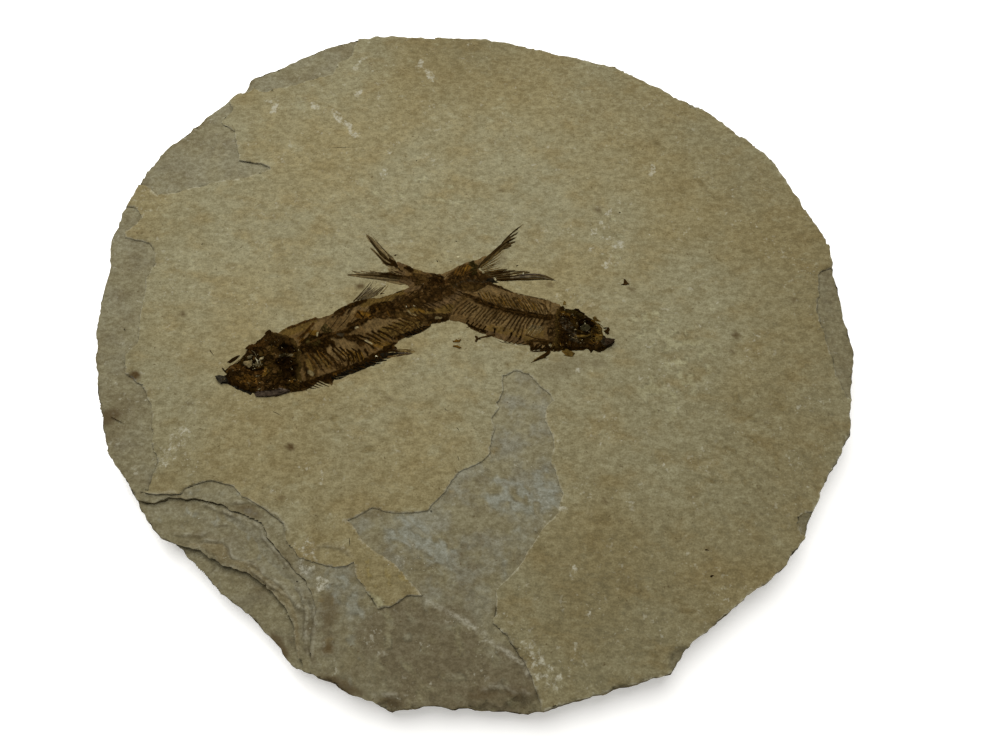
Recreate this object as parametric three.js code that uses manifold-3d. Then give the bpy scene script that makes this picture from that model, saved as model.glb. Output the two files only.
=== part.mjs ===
// Two fossil herrings, Knightia, lying crossed on a round plate of split limestone.
// Millimetres, +Z up. The plate rests on z = 0, with the middle of its outline at the origin.
import * as THREE from 'three';
import { mergeVertices } from 'three/addons/utils/BufferGeometryUtils.js';
import Module from 'manifold-3d';

const wasm = await Module();
wasm.setup();

// Driving dimensions
const THICKNESS = 8.0;
const LAMINA = 0.4;
const STEP_DOWN = 1.0;
const DEEP_STEP = 2.3;
const FILM = 0.25;
const GAP = 0.3;
const ARCH = 0.85;
// How far cutting and joining shapes run on above the plate, below its face and around it
const SKY = 20;
const ROOT = 1;
const FIELD = 120;

// The plate's broken rim, anticlockwise from its east side
const RIM = [
  [89.4, 0], [88.8, 10], [89.5, 19], [87.2, 24.5], [82.5, 36], [78, 46], [75, 49.5], [70, 55], [63, 62],
  [60, 65], [56, 66.2], [48, 71.8], [39, 78.3], [34.5, 79.2], [22, 83], [10, 87], [3, 88.3], [-10, 89.3],
  [-18, 89.1], [-24, 89.9], [-33, 88.6], [-40, 86], [-50, 80.2], [-62, 73.3], [-63.2, 69.5], [-70, 62.5],
  [-78.5, 52], [-82.3, 47], [-85, 41.5], [-88.5, 30.5], [-90.2, 21], [-89.2, 14], [-89.2, -3],
  [-87.5, -13], [-84.4, -24], [-80, -36], [-75, -42], [-70.5, -49], [-65.5, -54.5], [-61, -57],
  [-51.5, -66.3], [-45, -70.5], [-38.5, -76.5], [-34.5, -81.3], [-26, -84.2], [-14, -89.6], [-8, -88.6],
  [5, -89.2], [13, -89.9], [25, -87], [42, -82.2], [46, -77], [57, -68.2], [67.5, -61], [72.5, -54.5],
  [77, -45], [86, -31.5], [87.6, -23], [90.2, -11],
];

// Places where the top lamina has flaked off. Each runs past the rim on its outer side.
const WEST_LEDGE = [
  [-92, 31.5], [-86.5, 31], [-84.6, 29.6], [-83.5, 27.4], [-84.9, 25], [-87.2, 23.2], [-86.6, 21.4],
  [-80.5, 20], [-78.9, 17.6], [-77.9, 13.4], [-79.1, 9.5], [-79.2, 2], [-78.9, -3], [-78.3, -8],
  [-81, -12.2], [-79.7, -16], [-75.6, -18.9], [-72.3, -24], [-71, -32], [-68.7, -38.2], [-69.6, -44.4],
  [-76, -46], [-96, -20], [-96, 10],
];
const NORTHWEST_LEDGE = [
  [-90, 38.5], [-84.2, 37.4], [-81, 34.5], [-75.3, 35.8], [-68, 38.3], [-57.5, 40.4], [-52.6, 43.2],
  [-55.4, 44.5], [-61, 45.5], [-62.3, 50.5], [-64.2, 55.6], [-67.6, 58.4], [-65.6, 62.5], [-67, 68],
  [-80, 70], [-92, 50],
];
const NORTH_LEDGE = [
  [-66, 72.4], [-61, 71], [-58.3, 69.1], [-50, 71.5], [-43, 74.2], [-39.2, 75.8], [-38, 79.5],
  [-34.4, 82.1], [-32.8, 92], [-50, 92],
];
const EAST_LEDGE = [
  [93, 14], [85.6, 11.4], [84.2, 5.5], [83.4, 0], [84.1, -5], [84.9, -12], [85.6, -18], [87, -22.4],
  [94, -24],
];
const SOUTH_LEDGE = [
  [8.1, -16.6], [7.9, -20.5], [6.4, -23.4], [7.1, -24.8], [5.4, -27.6], [6, -29.4], [5, -35.6],
  [3, -37.6], [-2.2, -40.2], [-4.7, -44.4], [-8.5, -49.1], [-16, -49.5], [-20.4, -48.2], [-25.6, -51],
  [-22.4, -55], [-19, -58], [-14.5, -61], [-8.8, -67], [-12, -67.1], [-15, -69.3], [-18, -69.9],
  [-20.2, -66.6], [-22.8, -63.4], [-23.4, -60], [-25, -60.9], [-29.5, -60.7], [-35.4, -59.4],
  [-38.3, -55.5], [-39.4, -51.6], [-44.5, -48.1], [-48.9, -45.6], [-51, -43.1], [-57.4, -42.2],
  [-61, -43.6], [-62.4, -45.2], [-69.5, -45.1], [-78, -44.2], [-84, -70], [-40, -96], [17, -96],
  [15, -87.6], [12.7, -81], [8.8, -75], [5.8, -72.9], [6.7, -66], [12.2, -59.5], [15, -54.8],
  [19.6, -49.5], [20.8, -45], [18.5, -38], [19.3, -32.6], [17.3, -28], [17.9, -24.6], [19.6, -23],
  [18.6, -21.4], [16.2, -19.6], [14, -16.2], [11.2, -15.3],
];
const LOWER_STEP = [
  [-80, -45.6], [-71.4, -46.6], [-68, -47.3], [-65, -45.9], [-58, -46.5], [-52, -47.8], [-48.5, -50],
  [-44, -51.8], [-42.4, -55], [-39, -58.6], [-33.7, -64], [-30.6, -69.5], [-31.2, -76], [-30.8, -90],
  [-60, -90], [-84, -60],
];
const LOWEST_STEP = [
  [-70, -55.2], [-61, -56.2], [-57, -57], [-52, -59.8], [-46.5, -61.6], [-42.3, -64.3], [-37.6, -68.3],
  [-35.1, -72.8], [-34.2, -77], [-32.6, -81], [-33, -90], [-60, -90],
];
// Chips out of the rim's upper edge: place, radius of the scallop, and how deep it bites
const RIM_CHIPS = [
  [-15, -90.6, 4.6, 1.5], [5, -91.4, 4.4, 1.7], [11, -90.8, 5.2, 1.9], [44.6, -80.4, 4.2, 1.2],
  [-85.6, -25.5, 4.4, 1.0], [-63.6, 71.2, 3.2, 1.3], [74, -52, 3.2, 1.2], [60.6, 66, 3.4, 1.3],
];
// Lower laminae of the broken side: top, bottom, and the least and most that each is drawn in
const SIDE_LAYERS = [[5.3, 2.9, 0.3, 1.4], [2.9, 1.2, 0.9, 2.4], [1.2, 0, 1.4, 3.6]];
// Thin flakes lost from the underside
const UNDER_SCARS = [
  [[-66, 18], [-50, 26], [-34, 22], [-30, 34], [-44, 46], [-60, 42], [-69, 32]],
  [[30, -62], [44, -52], [62, -44], [66, -30], [52, -34], [40, -44], [26, -50]],
  [[20, 40], [36, 36], [48, 44], [44, 54], [30, 58], [18, 50]],
];
const SCAR_DEPTH = 0.5;
// Flakes knocked off the lower edge: how far each reaches in and climbs, least and most
const FLAKE = { inset: [3.5, 7], climb: [2, 4.4], proud: 1 };
// Scallops bitten out of the lower edge: radius, least and most, and height for width
const UNDER_BITE = { radius: [9, 14], out: 0.45, sunk: 1.5, flatness: 0.5 };
const CHIP_FLATNESS = 0.6;

// The large fish, its head to the west
const LARGE_FILM = [
  [-49.3, -21.4], [-46, -22.2], [-42, -21.5], [-38, -20.7], [-34.6, -18.6], [-31.4, -18.9], [-28, -16.8],
  [-23, -14.7], [-20.8, -12.8], [-18.4, -11.4], [-17.8, -9.2], [-16, -7.4], [-13.8, -6.3], [-11, -5.7],
  [-9, -4], [-7.5, -2.6], [-5.2, -2.2], [-3.6, 1], [-0.8, 4.3], [2, 6.2], [5.2, 8.3], [3.6, 10],
  [1.8, 11.9], [0.5, 14.6], [-4.3, 12.7], [-9.5, 10.2], [-15.5, 7.1], [-21.8, 4.4], [-27.8, 3.1],
  [-31.5, 1.3], [-33, -0.1], [-37.2, -1.3], [-43.5, -3.8], [-47.6, -5.1], [-52.2, -9.6],
];
const LARGE_MEMBRANES = [
  [[0.4, 13], [0.5, 14.6], [3.6, 16.3], [7, 19], [10, 22.7], [12.8, 25.3], [11.2, 21.6], [9.8, 18.3],
    [7.3, 15], [6.7, 12.9], [3.5, 12.3], [2.4, 10.6]],
  [[1.2, 11.2], [5.5, 11.6], [12, 11.9], [14.8, 11.2], [18.2, 10.3], [20.9, 8.8], [13, 9], [7, 8.7],
    [5, 8.2], [3, 8.2]],
  [[-19.4, -12.4], [-16.8, -12.1], [-14, -11.5], [-12.4, -10.6], [-15, -9.9], [-18.2, -9.8]],
];
const LARGE_COLUMN = {
  path: [[-40.4, -9.4], [-34, -6.7], [-27, -3.2], [-20, 1.1], [-12, 4.7], [-5, 8.3], [1.6, 11.7]],
  count: 26, width: 1.0, height: 1.35,
};
const LARGE_BONES = [
  // Ribs, then the haemal spines behind them
  { count: 14, width: 0.3, height: 0.62, keys: [
    [[-39.2, -9.5], [-36.2, -12.9], [-33, -16.8]],
    [[-31, -6.2], [-27.5, -10], [-24.4, -14.4]],
    [[-22, -0.6], [-18.6, -3.6], [-15.8, -6.8]],
  ] },
  { count: 8, width: 0.28, height: 0.5, steps: 1, keys: [
    [[-20, 0.5], [-17, -2.2], [-13.9, -5.7]],
    [[-10.5, 5], [-8, 2], [-5.9, -1.2]],
    [[-4, 8.6], [-2, 7], [-0.2, 5.2]],
  ] },
  // Neural spines above the backbone
  { count: 16, width: 0.24, height: 0.5, steps: 1, keys: [
    [[-38.4, -7.9], [-37.2, -5.2], [-35.9, -2.2]],
    [[-26, -2.4], [-24.4, 0.6], [-22.4, 3.9]],
    [[-15, 3.3], [-13.4, 5.4], [-11.4, 8.3]],
    [[-5.6, 8.1], [-4.4, 9.8], [-2.8, 12]],
  ] },
  // Dorsal fin
  { count: 7, width: 0.17, height: 0.42, keys: [
    [[-27.5, 1.6], [-25.8, 5.4], [-23.7, 8.6]],
    [[-24, 2.6], [-22.6, 4.6], [-20.2, 6.6]],
  ] },
  // Upper lobe of the tail
  { count: 6, width: 0.22, height: 0.5, steps: 1, keys: [
    [[-0.6, 12.4], [6.4, 18.2], [12.7, 25.1]],
    [[0.4, 12], [6.2, 15.6], [9.8, 18.2]],
    [[1, 11.7], [4.4, 12.5], [7, 13.3]],
  ] },
  // Lower lobe of the tail
  { count: 6, width: 0.24, height: 0.5, steps: 1, keys: [
    [[1.4, 10.6], [6, 11.3], [11, 11.9]],
    [[1.4, 10], [8, 10.6], [15, 10.8]],
    [[1.4, 9.3], [10, 9.3], [20.7, 8.9]],
  ] },
  // Pelvic fin
  { count: 3, width: 0.24, height: 0.48, steps: 1, keys: [
    [[-20.2, -11.6], [-16.6, -11.6], [-13, -10.9]],
    [[-19.4, -10.2], [-17, -10.3], [-14.8, -10.1]],
  ] },
  // Spiny scutes along the belly
  { count: 18, width: 0.5, height: 0.75, steps: 1, keys: [
    [[-40, -20], [-38.9, -20.6], [-37.8, -20.9]],
    [[-35.6, -18.4], [-34.4, -18.9], [-33.2, -19.3]],
    [[-29.6, -16.8], [-28.4, -17.2], [-27, -17.3]],
    [[-20.8, -11.8], [-19.6, -12.2], [-18.2, -12.5]],
  ] },
  // Anal fin
  { count: 7, width: 0.36, height: 0.6, steps: 1, keys: [
    [[-17, -6.4], [-16, -7.2], [-15, -7.6]],
    [[-8.6, -2], [-7.2, -2.6], [-6, -3.1]],
  ] },
];
const LARGE_SKULL = [
  { top: 0.75, slope: 0.3, outline: [[-41.5, -6.9], [-44, -5.9], [-47.6, -5.3], [-50.3, -7.9],
    [-52.9, -11.3], [-56.2, -13.2], [-55, -13.8], [-57.3, -14.9], [-56.4, -16.4], [-58.4, -17.3],
    [-56.9, -18.9], [-55.2, -19.1], [-51.2, -21.2], [-49.8, -22], [-49.1, -21.4], [-46, -22],
    [-42, -21.3], [-38.8, -20.4], [-38.8, -14], [-39.6, -9.2]] },
  { top: 1.25, slope: 0.4, outline: [[-47.3, -5.7], [-52.3, -10.6], [-54.4, -12.5], [-53.2, -12.9],
    [-51.2, -11], [-47.5, -10], [-42.6, -8.8], [-41.2, -7.3], [-44, -6.2]] },
  { top: 1.1, slope: 0.45, outline: [[-45.4, -9.6], [-41.6, -8.9], [-39.3, -11.4], [-39.1, -15],
    [-39.6, -18.6], [-42, -20.2], [-44.6, -17.6], [-45.8, -13]] },
  { top: 1.0, slope: 0.35, outline: [[-47, -15.6], [-45.6, -17.6], [-44.4, -20.3], [-48.3, -20.8],
    [-51.4, -19.6], [-50.8, -17.6], [-48.6, -17.4]] },
  { top: 1.05, slope: 0.3, outline: [[-58, -17.5], [-56.4, -17.1], [-53.6, -18.1], [-51.4, -19.9],
    [-50, -21.5], [-52.6, -20.4], [-56.8, -18.6]] },
  { top: 1.1, slope: 0.3, outline: [[-55.4, -14.4], [-53.4, -13.8], [-52.8, -15.6], [-51, -16.8],
    [-52.4, -18], [-55.6, -16.8]] },
  // The fan of plates that carries the tail, and a dark lump at the root of its lower lobe
  { top: 1.0, slope: 0.25, outline: [[-1.4, 10], [1.6, 8.4], [3.3, 9.7], [1.7, 11.8], [0.9, 13.8],
    [-1, 12.6]] },
  { top: 0.7, slope: 0.2, outline: [[5.1, 8.4], [6.7, 8.2], [6.5, 9], [5.6, 9.3]] },
];
const LARGE_EYE = { at: [-49.6, -13.9], socket: 2.4, rim: 3.0, rimTop: 1.15, ball: 1.1 };
// The arch where the large fish lies over the small one's tail, and the oval where its bones are lifted
const HUMP = { top: ARCH, slope: 0.3, outline: [[-17.4, 5.7], [-15, 5], [-12.6, 3.4], [-10.6, 0.8],
  [-8.8, -2], [-7.6, -2.7], [-5.3, -2.1], [-3.7, 1], [-0.8, 4.4], [2, 6.3], [5, 8.3], [3.6, 9.9],
  [1.8, 11.7], [-2.6, 12.4], [-6, 11.6], [-9.5, 10.1], [-15.4, 7.1], [-17.6, 6.3]] };
const LIFTED = { at: [-4.4, 5.6], turn: 0.44, along: 9.5, across: 7.5, lift: 0.6, full: 0.8, gone: 1.15 };

// The small fish, its head to the east
const SMALL_FILM = [
  [21.6, 2.2], [17.8, 3.6], [13, 5], [10, 5.9], [6.6, 7.7], [2, 9.5], [-3, 10.4], [-8.5, 11], [-12, 11.7],
  [-16.8, 14], [-17.6, 10.8], [-16.5, 7.4], [-14, 7], [-11.5, 5.6], [-9, 3], [-7, 0], [-5, -2.3],
  [-2.6, -2.6], [-0.9, -3.8], [1.2, -5], [3.2, -5.6], [5.2, -6.8], [9, -8.3], [14.1, -9.2], [14.2, -10.5],
  [18.8, -10.6], [20.8, -9],
];
const SMALL_MEMBRANES = [
  [[-15.8, 12.6], [-17.2, 14], [-20, 15.5], [-22, 17.3], [-24.4, 20.2], [-26.5, 22.5], [-25.2, 19.2],
    [-22.6, 15.6], [-20.4, 12.6], [-17, 10.4]],
  [[-16.6, 10.8], [-20.3, 11.1], [-25, 11.1], [-30.2, 10.7], [-26, 9.6], [-20, 8.8], [-16.2, 7.6]],
];
const SMALL_COLUMN = {
  path: [[20.4, -1.2], [14, -0.6], [8, 0.8], [3, 2.9], [-3, 5.6], [-10, 8.4], [-16.6, 10]],
  count: 24, width: 0.72, height: 1.0,
};
const SMALL_BONES = [
  // Ribs
  { count: 18, width: 0.26, height: 0.55, keys: [
    [[18.6, -1.8], [17.4, -4.2], [15.6, -7.8]],
    [[12, -0.8], [9.9, -4], [8.6, -7.6]],
    [[5.5, 0.8], [3.5, -2], [1.9, -4.8]],
    [[0.8, 2.8], [-1, 0.4], [-2.3, -2.2]],
  ] },
  // Neural spines
  { count: 14, width: 0.22, height: 0.45, steps: 1, keys: [
    [[19, -0.6], [18, 1.4], [16.8, 3.6]],
    [[12, 0.4], [10.8, 2.6], [9, 5.7]],
    [[6.2, 1.8], [5.2, 4.2], [4.2, 7.2]],
  ] },
  // Folded dorsal fin along the back
  { count: 1, width: 0.28, height: 0.5, keys: [[[7.6, 6.6], [12.6, 4.9], [18, 3.5]]] },
  // Upper lobe of the tail
  { count: 6, width: 0.24, height: 0.5, steps: 1, keys: [
    [[-15.4, 11], [-20.6, 15.4], [-26.4, 22.3]],
    [[-15.6, 10.6], [-20.2, 13.4], [-24.8, 18.5]],
    [[-15.8, 10.2], [-18.6, 11.6], [-20.9, 13.4]],
  ] },
  // Lower lobe of the tail
  { count: 5, width: 0.24, height: 0.5, steps: 1, keys: [
    [[-15.8, 9.9], [-20, 10.8], [-24.8, 11.6]],
    [[-15.8, 9.5], [-21.6, 10.3], [-29.2, 11.8]],
    [[-15.8, 9.1], [-21.6, 9.8], [-30.1, 10.7]],
  ] },
  // Belly scutes
  { count: 12, width: 0.42, height: 0.65, steps: 1, keys: [
    [[14, -8.4], [12.6, -8.9], [11, -8.9]],
    [[4.2, -4.8], [3, -5.4], [1.4, -5.5]],
    [[0.6, -3.6], [-0.4, -4], [-1.6, -3.4]],
  ] },
  // Pelvic spines
  { count: 2, width: 0.42, height: 0.6, keys: [
    [[19.2, -10], [17.2, -11.4], [14.5, -13.3]],
    [[19, -9.6], [17, -10.1], [14, -10.8]],
  ] },
  // A rib that has slipped out of the belly, with the knob at its end
  { count: 1, width: 0.3, height: 0.55, keys: [[[6.4, -6], [4.4, -6.6], [1.6, -7]]] },
  { count: 1, width: 0.5, height: 0.6, keys: [[[1.3, -6.3], [1.6, -7], [1.8, -7.8]]] },
  // Loose bones at the tip of the snout
  { count: 2, width: 0.36, height: 0.7, keys: [
    [[31, -5.2], [32.3, -5.4], [33.2, -4.1]],
    [[31.4, -6.2], [32.1, -5.8], [32.2, -4.2]],
  ] },
];
const SMALL_SKULL = [
  { top: 0.7, slope: 0.3, outline: [[19, -0.4], [21, 1.2], [23.4, 1.3], [25.2, 1.1], [27.4, -0.8],
    [29.8, -1.2], [31.1, -2.7], [31.8, -4.8], [32.1, -6.4], [34.4, -7.5], [34.1, -8.5], [31.4, -10.5],
    [28.4, -10.9], [26, -10.3], [24.6, -11.6], [22.6, -12.1], [21.2, -10.8], [18.6, -10.7], [19.4, -7]] },
  { top: 1.1, slope: 0.4, outline: [[20.8, -0.2], [24.2, 0.2], [25, -2.4], [24.5, -6], [24.8, -9.4],
    [22.6, -9.9], [20.8, -7.6], [20.2, -3.6]] },
  { top: 1.15, slope: 0.3, outline: [[24.8, 0.7], [26.2, -0.2], [28.6, -1.7], [30.4, -3], [29.6, -3.7],
    [27.4, -2.1], [25, -1.2]] },
  { top: 1.0, slope: 0.3, outline: [[25.2, -6.6], [28.4, -6.7], [30, -5.4], [31, -4.8], [31, -7.9],
    [28.6, -8.6], [25.6, -8.6]] },
  { top: 0.95, slope: 0.3, outline: [[31.6, -7.1], [34, -7.8], [32.9, -9.4], [30.6, -10.3], [29.6, -9]] },
  // The fan of plates that carries the tail, and a dark lump on its upper lobe
  { top: 0.8, slope: 0.2, outline: [[-13.4, 8.6], [-15.9, 8.3], [-17, 9.7], [-16.7, 11.6], [-14.4, 11]] },
  { top: 0.75, slope: 0.25, outline: [[-18.6, 13.4], [-19.2, 12.6], [-20.4, 13.2], [-20.6, 14.8],
    [-19.8, 15.4]] },
];
const SMALL_EYE = { at: [27.3, -4.2], socket: 1.6, rim: 2.25, rimTop: 1.1, ball: 1.15 };

// How much thinner and lower a bone is at its tip, and a vertebra at its waist and at the tail
const TIP_THINNER = 0.75;
const TIP_LOWER = 0.45;
const WAIST = 0.72;
const TAIL_TAPER = 0.4;

// Solids

/** Turns a closed three.js geometry into a manifold solid. */
function solid(geometry) {
  geometry.deleteAttribute('normal');
  geometry.deleteAttribute('uv');
  const merged = mergeVertices(geometry, 1e-5);
  const mesh = new wasm.Mesh({
    numProp: 3,
    vertProperties: new Float32Array(merged.attributes.position.array),
    triVerts: new Uint32Array(merged.index.array),
  });
  return new wasm.Manifold(mesh);
}

/** Turns a manifold solid back into a three.js geometry. */
function geometryOf(manifold) {
  const mesh = manifold.getMesh();
  const geometry = new THREE.BufferGeometry();
  geometry.setAttribute('position', new THREE.BufferAttribute(mesh.vertProperties, 3));
  geometry.setIndex(new THREE.BufferAttribute(mesh.triVerts, 1));
  return geometry;
}

function shapeOf(points) {
  return new THREE.Shape(points.map(([x, y]) => new THREE.Vector2(x, y)));
}

/** An upright prism over an outline, grown sideways by grow. */
function prism(points, low, high, grow = 0) {
  const lip = 0.01;
  const geometry = new THREE.ExtrudeGeometry(shapeOf(points), grow === 0
    ? { depth: high - low, bevelEnabled: false }
    : { depth: high - low - 2 * lip, bevelThickness: lip, bevelSize: grow, bevelSegments: 1 });
  return solid(geometry.translate(0, 0, grow === 0 ? low : low + lip));
}

/** A flat bone with sloping sides, standing top above the plate's face. */
function plate({ outline, top, slope }) {
  const steepest = 0.6;
  const rise = Math.min(top * steepest, slope);
  const geometry = new THREE.ExtrudeGeometry(shapeOf(outline), {
    depth: top, bevelThickness: rise, bevelSize: slope, bevelOffset: -slope, bevelSegments: 1,
  });
  return solid(geometry.translate(0, 0, THICKNESS - rise));
}

/** How far the bones of the large fish are lifted at a place by what lies under them. */
function liftAt(x, y) {
  const [cx, cy] = LIFTED.at;
  const along = (x - cx) * Math.cos(LIFTED.turn) + (y - cy) * Math.sin(LIFTED.turn);
  const across = (y - cy) * Math.cos(LIFTED.turn) - (x - cx) * Math.sin(LIFTED.turn);
  const reach = Math.hypot(along / LIFTED.along, across / LIFTED.across);
  return LIFTED.lift * (1 - THREE.MathUtils.smoothstep(reach, LIFTED.full, LIFTED.gone));
}

function noLift() {
  return 0;
}

/** A tapering bone bent along a flat path: a cylinder with its axis laid on the path. */
function bone(path, widthAt, heightAt, sides, steps, lift) {
  const curve = new THREE.CatmullRomCurve3(path.map(([x, y]) => new THREE.Vector3(x, y, THICKNESS)));
  const geometry = new THREE.CylinderGeometry(1, 1, 1, sides, steps);
  const vertices = geometry.attributes.position;
  const up = new THREE.Vector3(0, 0, 1);
  for (let i = 0; i < vertices.count; i += 1) {
    const along = THREE.MathUtils.clamp(vertices.getY(i) + 0.5, 0, 1);
    const across = curve.getTangentAt(along).cross(up).normalize();
    const middle = curve.getPointAt(along);
    const place = middle.clone()
      .addScaledVector(across, vertices.getX(i) * widthAt(along))
      .addScaledVector(up, vertices.getZ(i) * heightAt(along) + lift(middle.x, middle.y));
    vertices.setXYZ(i, place.x, place.y, place.z);
  }
  return solid(geometry);
}

/** A row of like bones, whose paths change evenly from one key path to the next. */
function boneRow({ count, width, height, keys, steps = 2 }, lift) {
  const bones = [];
  const widthAt = (s) => width * (1 - TIP_THINNER * s);
  const heightAt = (s) => height * (1 - TIP_LOWER * s);
  for (let i = 0; i < count; i += 1) {
    const place = count > 1 ? (i / (count - 1)) * (keys.length - 1) : 0;
    const from = Math.min(Math.floor(place), Math.max(keys.length - 2, 0));
    const to = Math.min(from + 1, keys.length - 1);
    const share = place - from;
    const path = keys[from].map(([x, y], k) => [
      THREE.MathUtils.lerp(x, keys[to][k][0], share),
      THREE.MathUtils.lerp(y, keys[to][k][1], share),
    ]);
    bones.push(bone(path, widthAt, heightAt, 4, steps, lift));
  }
  return bones;
}

/** The backbone: a row of hourglass vertebrae. */
function backbone({ path, count, width, height }, lift) {
  const waist = (s) => (Math.round(s * count * 2) % 2 === 0 ? 1 : WAIST);
  const size = (s) => waist(s) * (1 - TAIL_TAPER * s);
  return bone(path, (s) => width * size(s), (s) => height * size(s), 6, count * 2, lift);
}

/** The eye: a raised ring of small bones round a socket with the flattened ball in it. */
function orbit({ at, rim, rimTop, socket, ball }) {
  const [x, y] = at;
  const sides = 14;
  const bevel = 0.3;
  const socketFloor = 0.7;
  const flattened = 0.6;
  const ring = new THREE.CylinderGeometry(rim - bevel, rim, rimTop, sides)
    .rotateX(Math.PI / 2).translate(x, y, THICKNESS + rimTop / 2);
  const hole = new THREE.CylinderGeometry(socket, socket * socketFloor, 2 * ROOT, sides)
    .rotateX(Math.PI / 2).translate(x, y, THICKNESS + FILM + ROOT);
  const eyeball = new THREE.SphereGeometry(ball, 10, 6)
    .rotateX(Math.PI / 2).scale(1, 1, flattened).translate(x, y, THICKNESS + 0.1);
  return { ring: solid(ring), hole: solid(hole), eyeball: solid(eyeball) };
}

function joined(solids) {
  return solids.reduce((whole, piece) => whole.add(piece));
}

/** Cuts off all that lies below the plate's face. */
function seated(fish) {
  const above = new THREE.BoxGeometry(2 * FIELD, 2 * FIELD, SKY).translate(0, 0, THICKNESS + SKY / 2);
  return fish.intersect(solid(above));
}

function fish(film, membranes, column, bones, skull, eye, lift) {
  const eyeParts = orbit(eye);
  const head = joined([...skull.map(plate), eyeParts.ring]).subtract(eyeParts.hole).add(eyeParts.eyeball);
  const thinner = 0.8;
  return joined([
    prism(film, THICKNESS - ROOT, THICKNESS + FILM),
    ...membranes.map((outline) => prism(outline, THICKNESS - ROOT, THICKNESS + FILM * thinner)),
    backbone(column, lift),
    ...bones.flatMap((row) => boneRow(row, lift)),
    head,
  ]);
}

/** The i-th of an uneven but repeatable run of numbers between two limits. */
function uneven([least, most], i, turn) {
  return THREE.MathUtils.lerp(least, most, ((i + 1) * turn) % 1);
}

/** An outline with each corner drawn in towards the middle by a different amount. */
function drawnIn(points, limits, turn) {
  return points.map(([x, y], i) => {
    const keep = 1 - uneven(limits, i, turn) / Math.hypot(x, y);
    return [x * keep, y * keep];
  });
}

/** The wedge that a flat flake takes off the lower edge beside a corner of the rim. */
function underFlake([x, y], i) {
  const inset = uneven(FLAKE.inset, i, 0.414);
  const climb = uneven(FLAKE.climb, i, 0.732);
  const wedge = new THREE.BoxGeometry(2 * SKY, FIELD, SKY)
    .translate(0, 0, -SKY / 2)
    .rotateY(-Math.atan2(climb, inset))
    .translate(Math.hypot(x, y) - FLAKE.proud - inset / 2, 0, climb / 2)
    .rotateZ(Math.atan2(y, x));
  return solid(wedge);
}

/** A scallop bitten out of an edge: place of its centre, radius, and height for its width. */
function scallop(x, y, z, radius, flatness) {
  const bite = new THREE.IcosahedronGeometry(radius, 1).rotateZ(Math.atan2(y, x)).scale(1, 1, flatness);
  return solid(bite.translate(x, y, z));
}

function rimChip([x, y, radius, bite]) {
  return scallop(x, y, THICKNESS + radius * CHIP_FLATNESS - bite, radius, CHIP_FLATNESS);
}

function underScallop([x, y], i) {
  const radius = uneven(UNDER_BITE.radius, i, 0.618);
  const out = 1 + (radius * UNDER_BITE.out) / Math.hypot(x, y);
  return scallop(x * out, y * out, -UNDER_BITE.sunk - radius / 10, radius, UNDER_BITE.flatness);
}

function limestonePlate() {
  let stone = prism(RIM, SIDE_LAYERS[0][0], THICKNESS);
  SIDE_LAYERS.forEach(([top, bottom, least, most], i) => {
    stone = stone.add(prism(drawnIn(RIM, [least, most], 0.618 + i / 10), bottom, top));
  });
  for (const ledge of [WEST_LEDGE, NORTHWEST_LEDGE, NORTH_LEDGE, EAST_LEDGE, SOUTH_LEDGE]) {
    stone = stone.subtract(prism(ledge, THICKNESS - LAMINA, SKY));
  }
  stone = stone.subtract(prism(LOWER_STEP, THICKNESS - STEP_DOWN, SKY));
  stone = stone.subtract(prism(LOWEST_STEP, THICKNESS - DEEP_STEP, SKY));
  for (const chip of RIM_CHIPS) stone = stone.subtract(rimChip(chip));
  RIM.forEach((corner, i) => {
    if (i % 3 === 0) stone = stone.subtract(underFlake(corner, i));
    if (i % 3 === 1) stone = stone.subtract(underScallop(corner, i));
  });
  for (const scar of UNDER_SCARS) stone = stone.subtract(prism(scar, -ROOT, SCAR_DEPTH));
  return stone;
}

/** The small fish, pressed flat where the large one crosses it. */
function smallFish() {
  const whole = fish(SMALL_FILM, SMALL_MEMBRANES, SMALL_COLUMN, SMALL_BONES, SMALL_SKULL, SMALL_EYE, noLift);
  const crossed = prism(LARGE_FILM, THICKNESS + FILM, SKY, GAP);
  return seated(whole).subtract(crossed);
}

/** The large fish, arched over the small one. */
function largeFish() {
  const whole = fish(LARGE_FILM, LARGE_MEMBRANES, LARGE_COLUMN, LARGE_BONES, LARGE_SKULL, LARGE_EYE, liftAt);
  const arched = seated(whole.add(plate(HUMP)));
  return arched.subtract(prism(SMALL_FILM, THICKNESS - ROOT, THICKNESS + FILM + GAP, GAP));
}

function piece(name, manifold, color, roughness) {
  const mesh = new THREE.Mesh(
    geometryOf(manifold),
    new THREE.MeshStandardMaterial({ color, roughness, metalness: 0 }),
  );
  mesh.name = name;
  return mesh;
}

const fossil = new THREE.Group();
fossil.add(piece('limestone_slab', limestonePlate(), 0xb3a67f, 0.9));
fossil.add(piece('large_fish', largeFish(), 0x3a2614, 0.6));
fossil.add(piece('small_fish', smallFish(), 0x4a3520, 0.6));

export default fossil;
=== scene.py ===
"""Two crossed fossil herrings on a round, hand-broken plate of split limestone.

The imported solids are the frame. Shapes are worked out in millimetres and scaled to metres once whole.
"""

import math
import random
from functools import partial
from types import SimpleNamespace

import bmesh
import bpy
import numpy as np
from mathutils import Euler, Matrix, Vector, kdtree, noise


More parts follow.
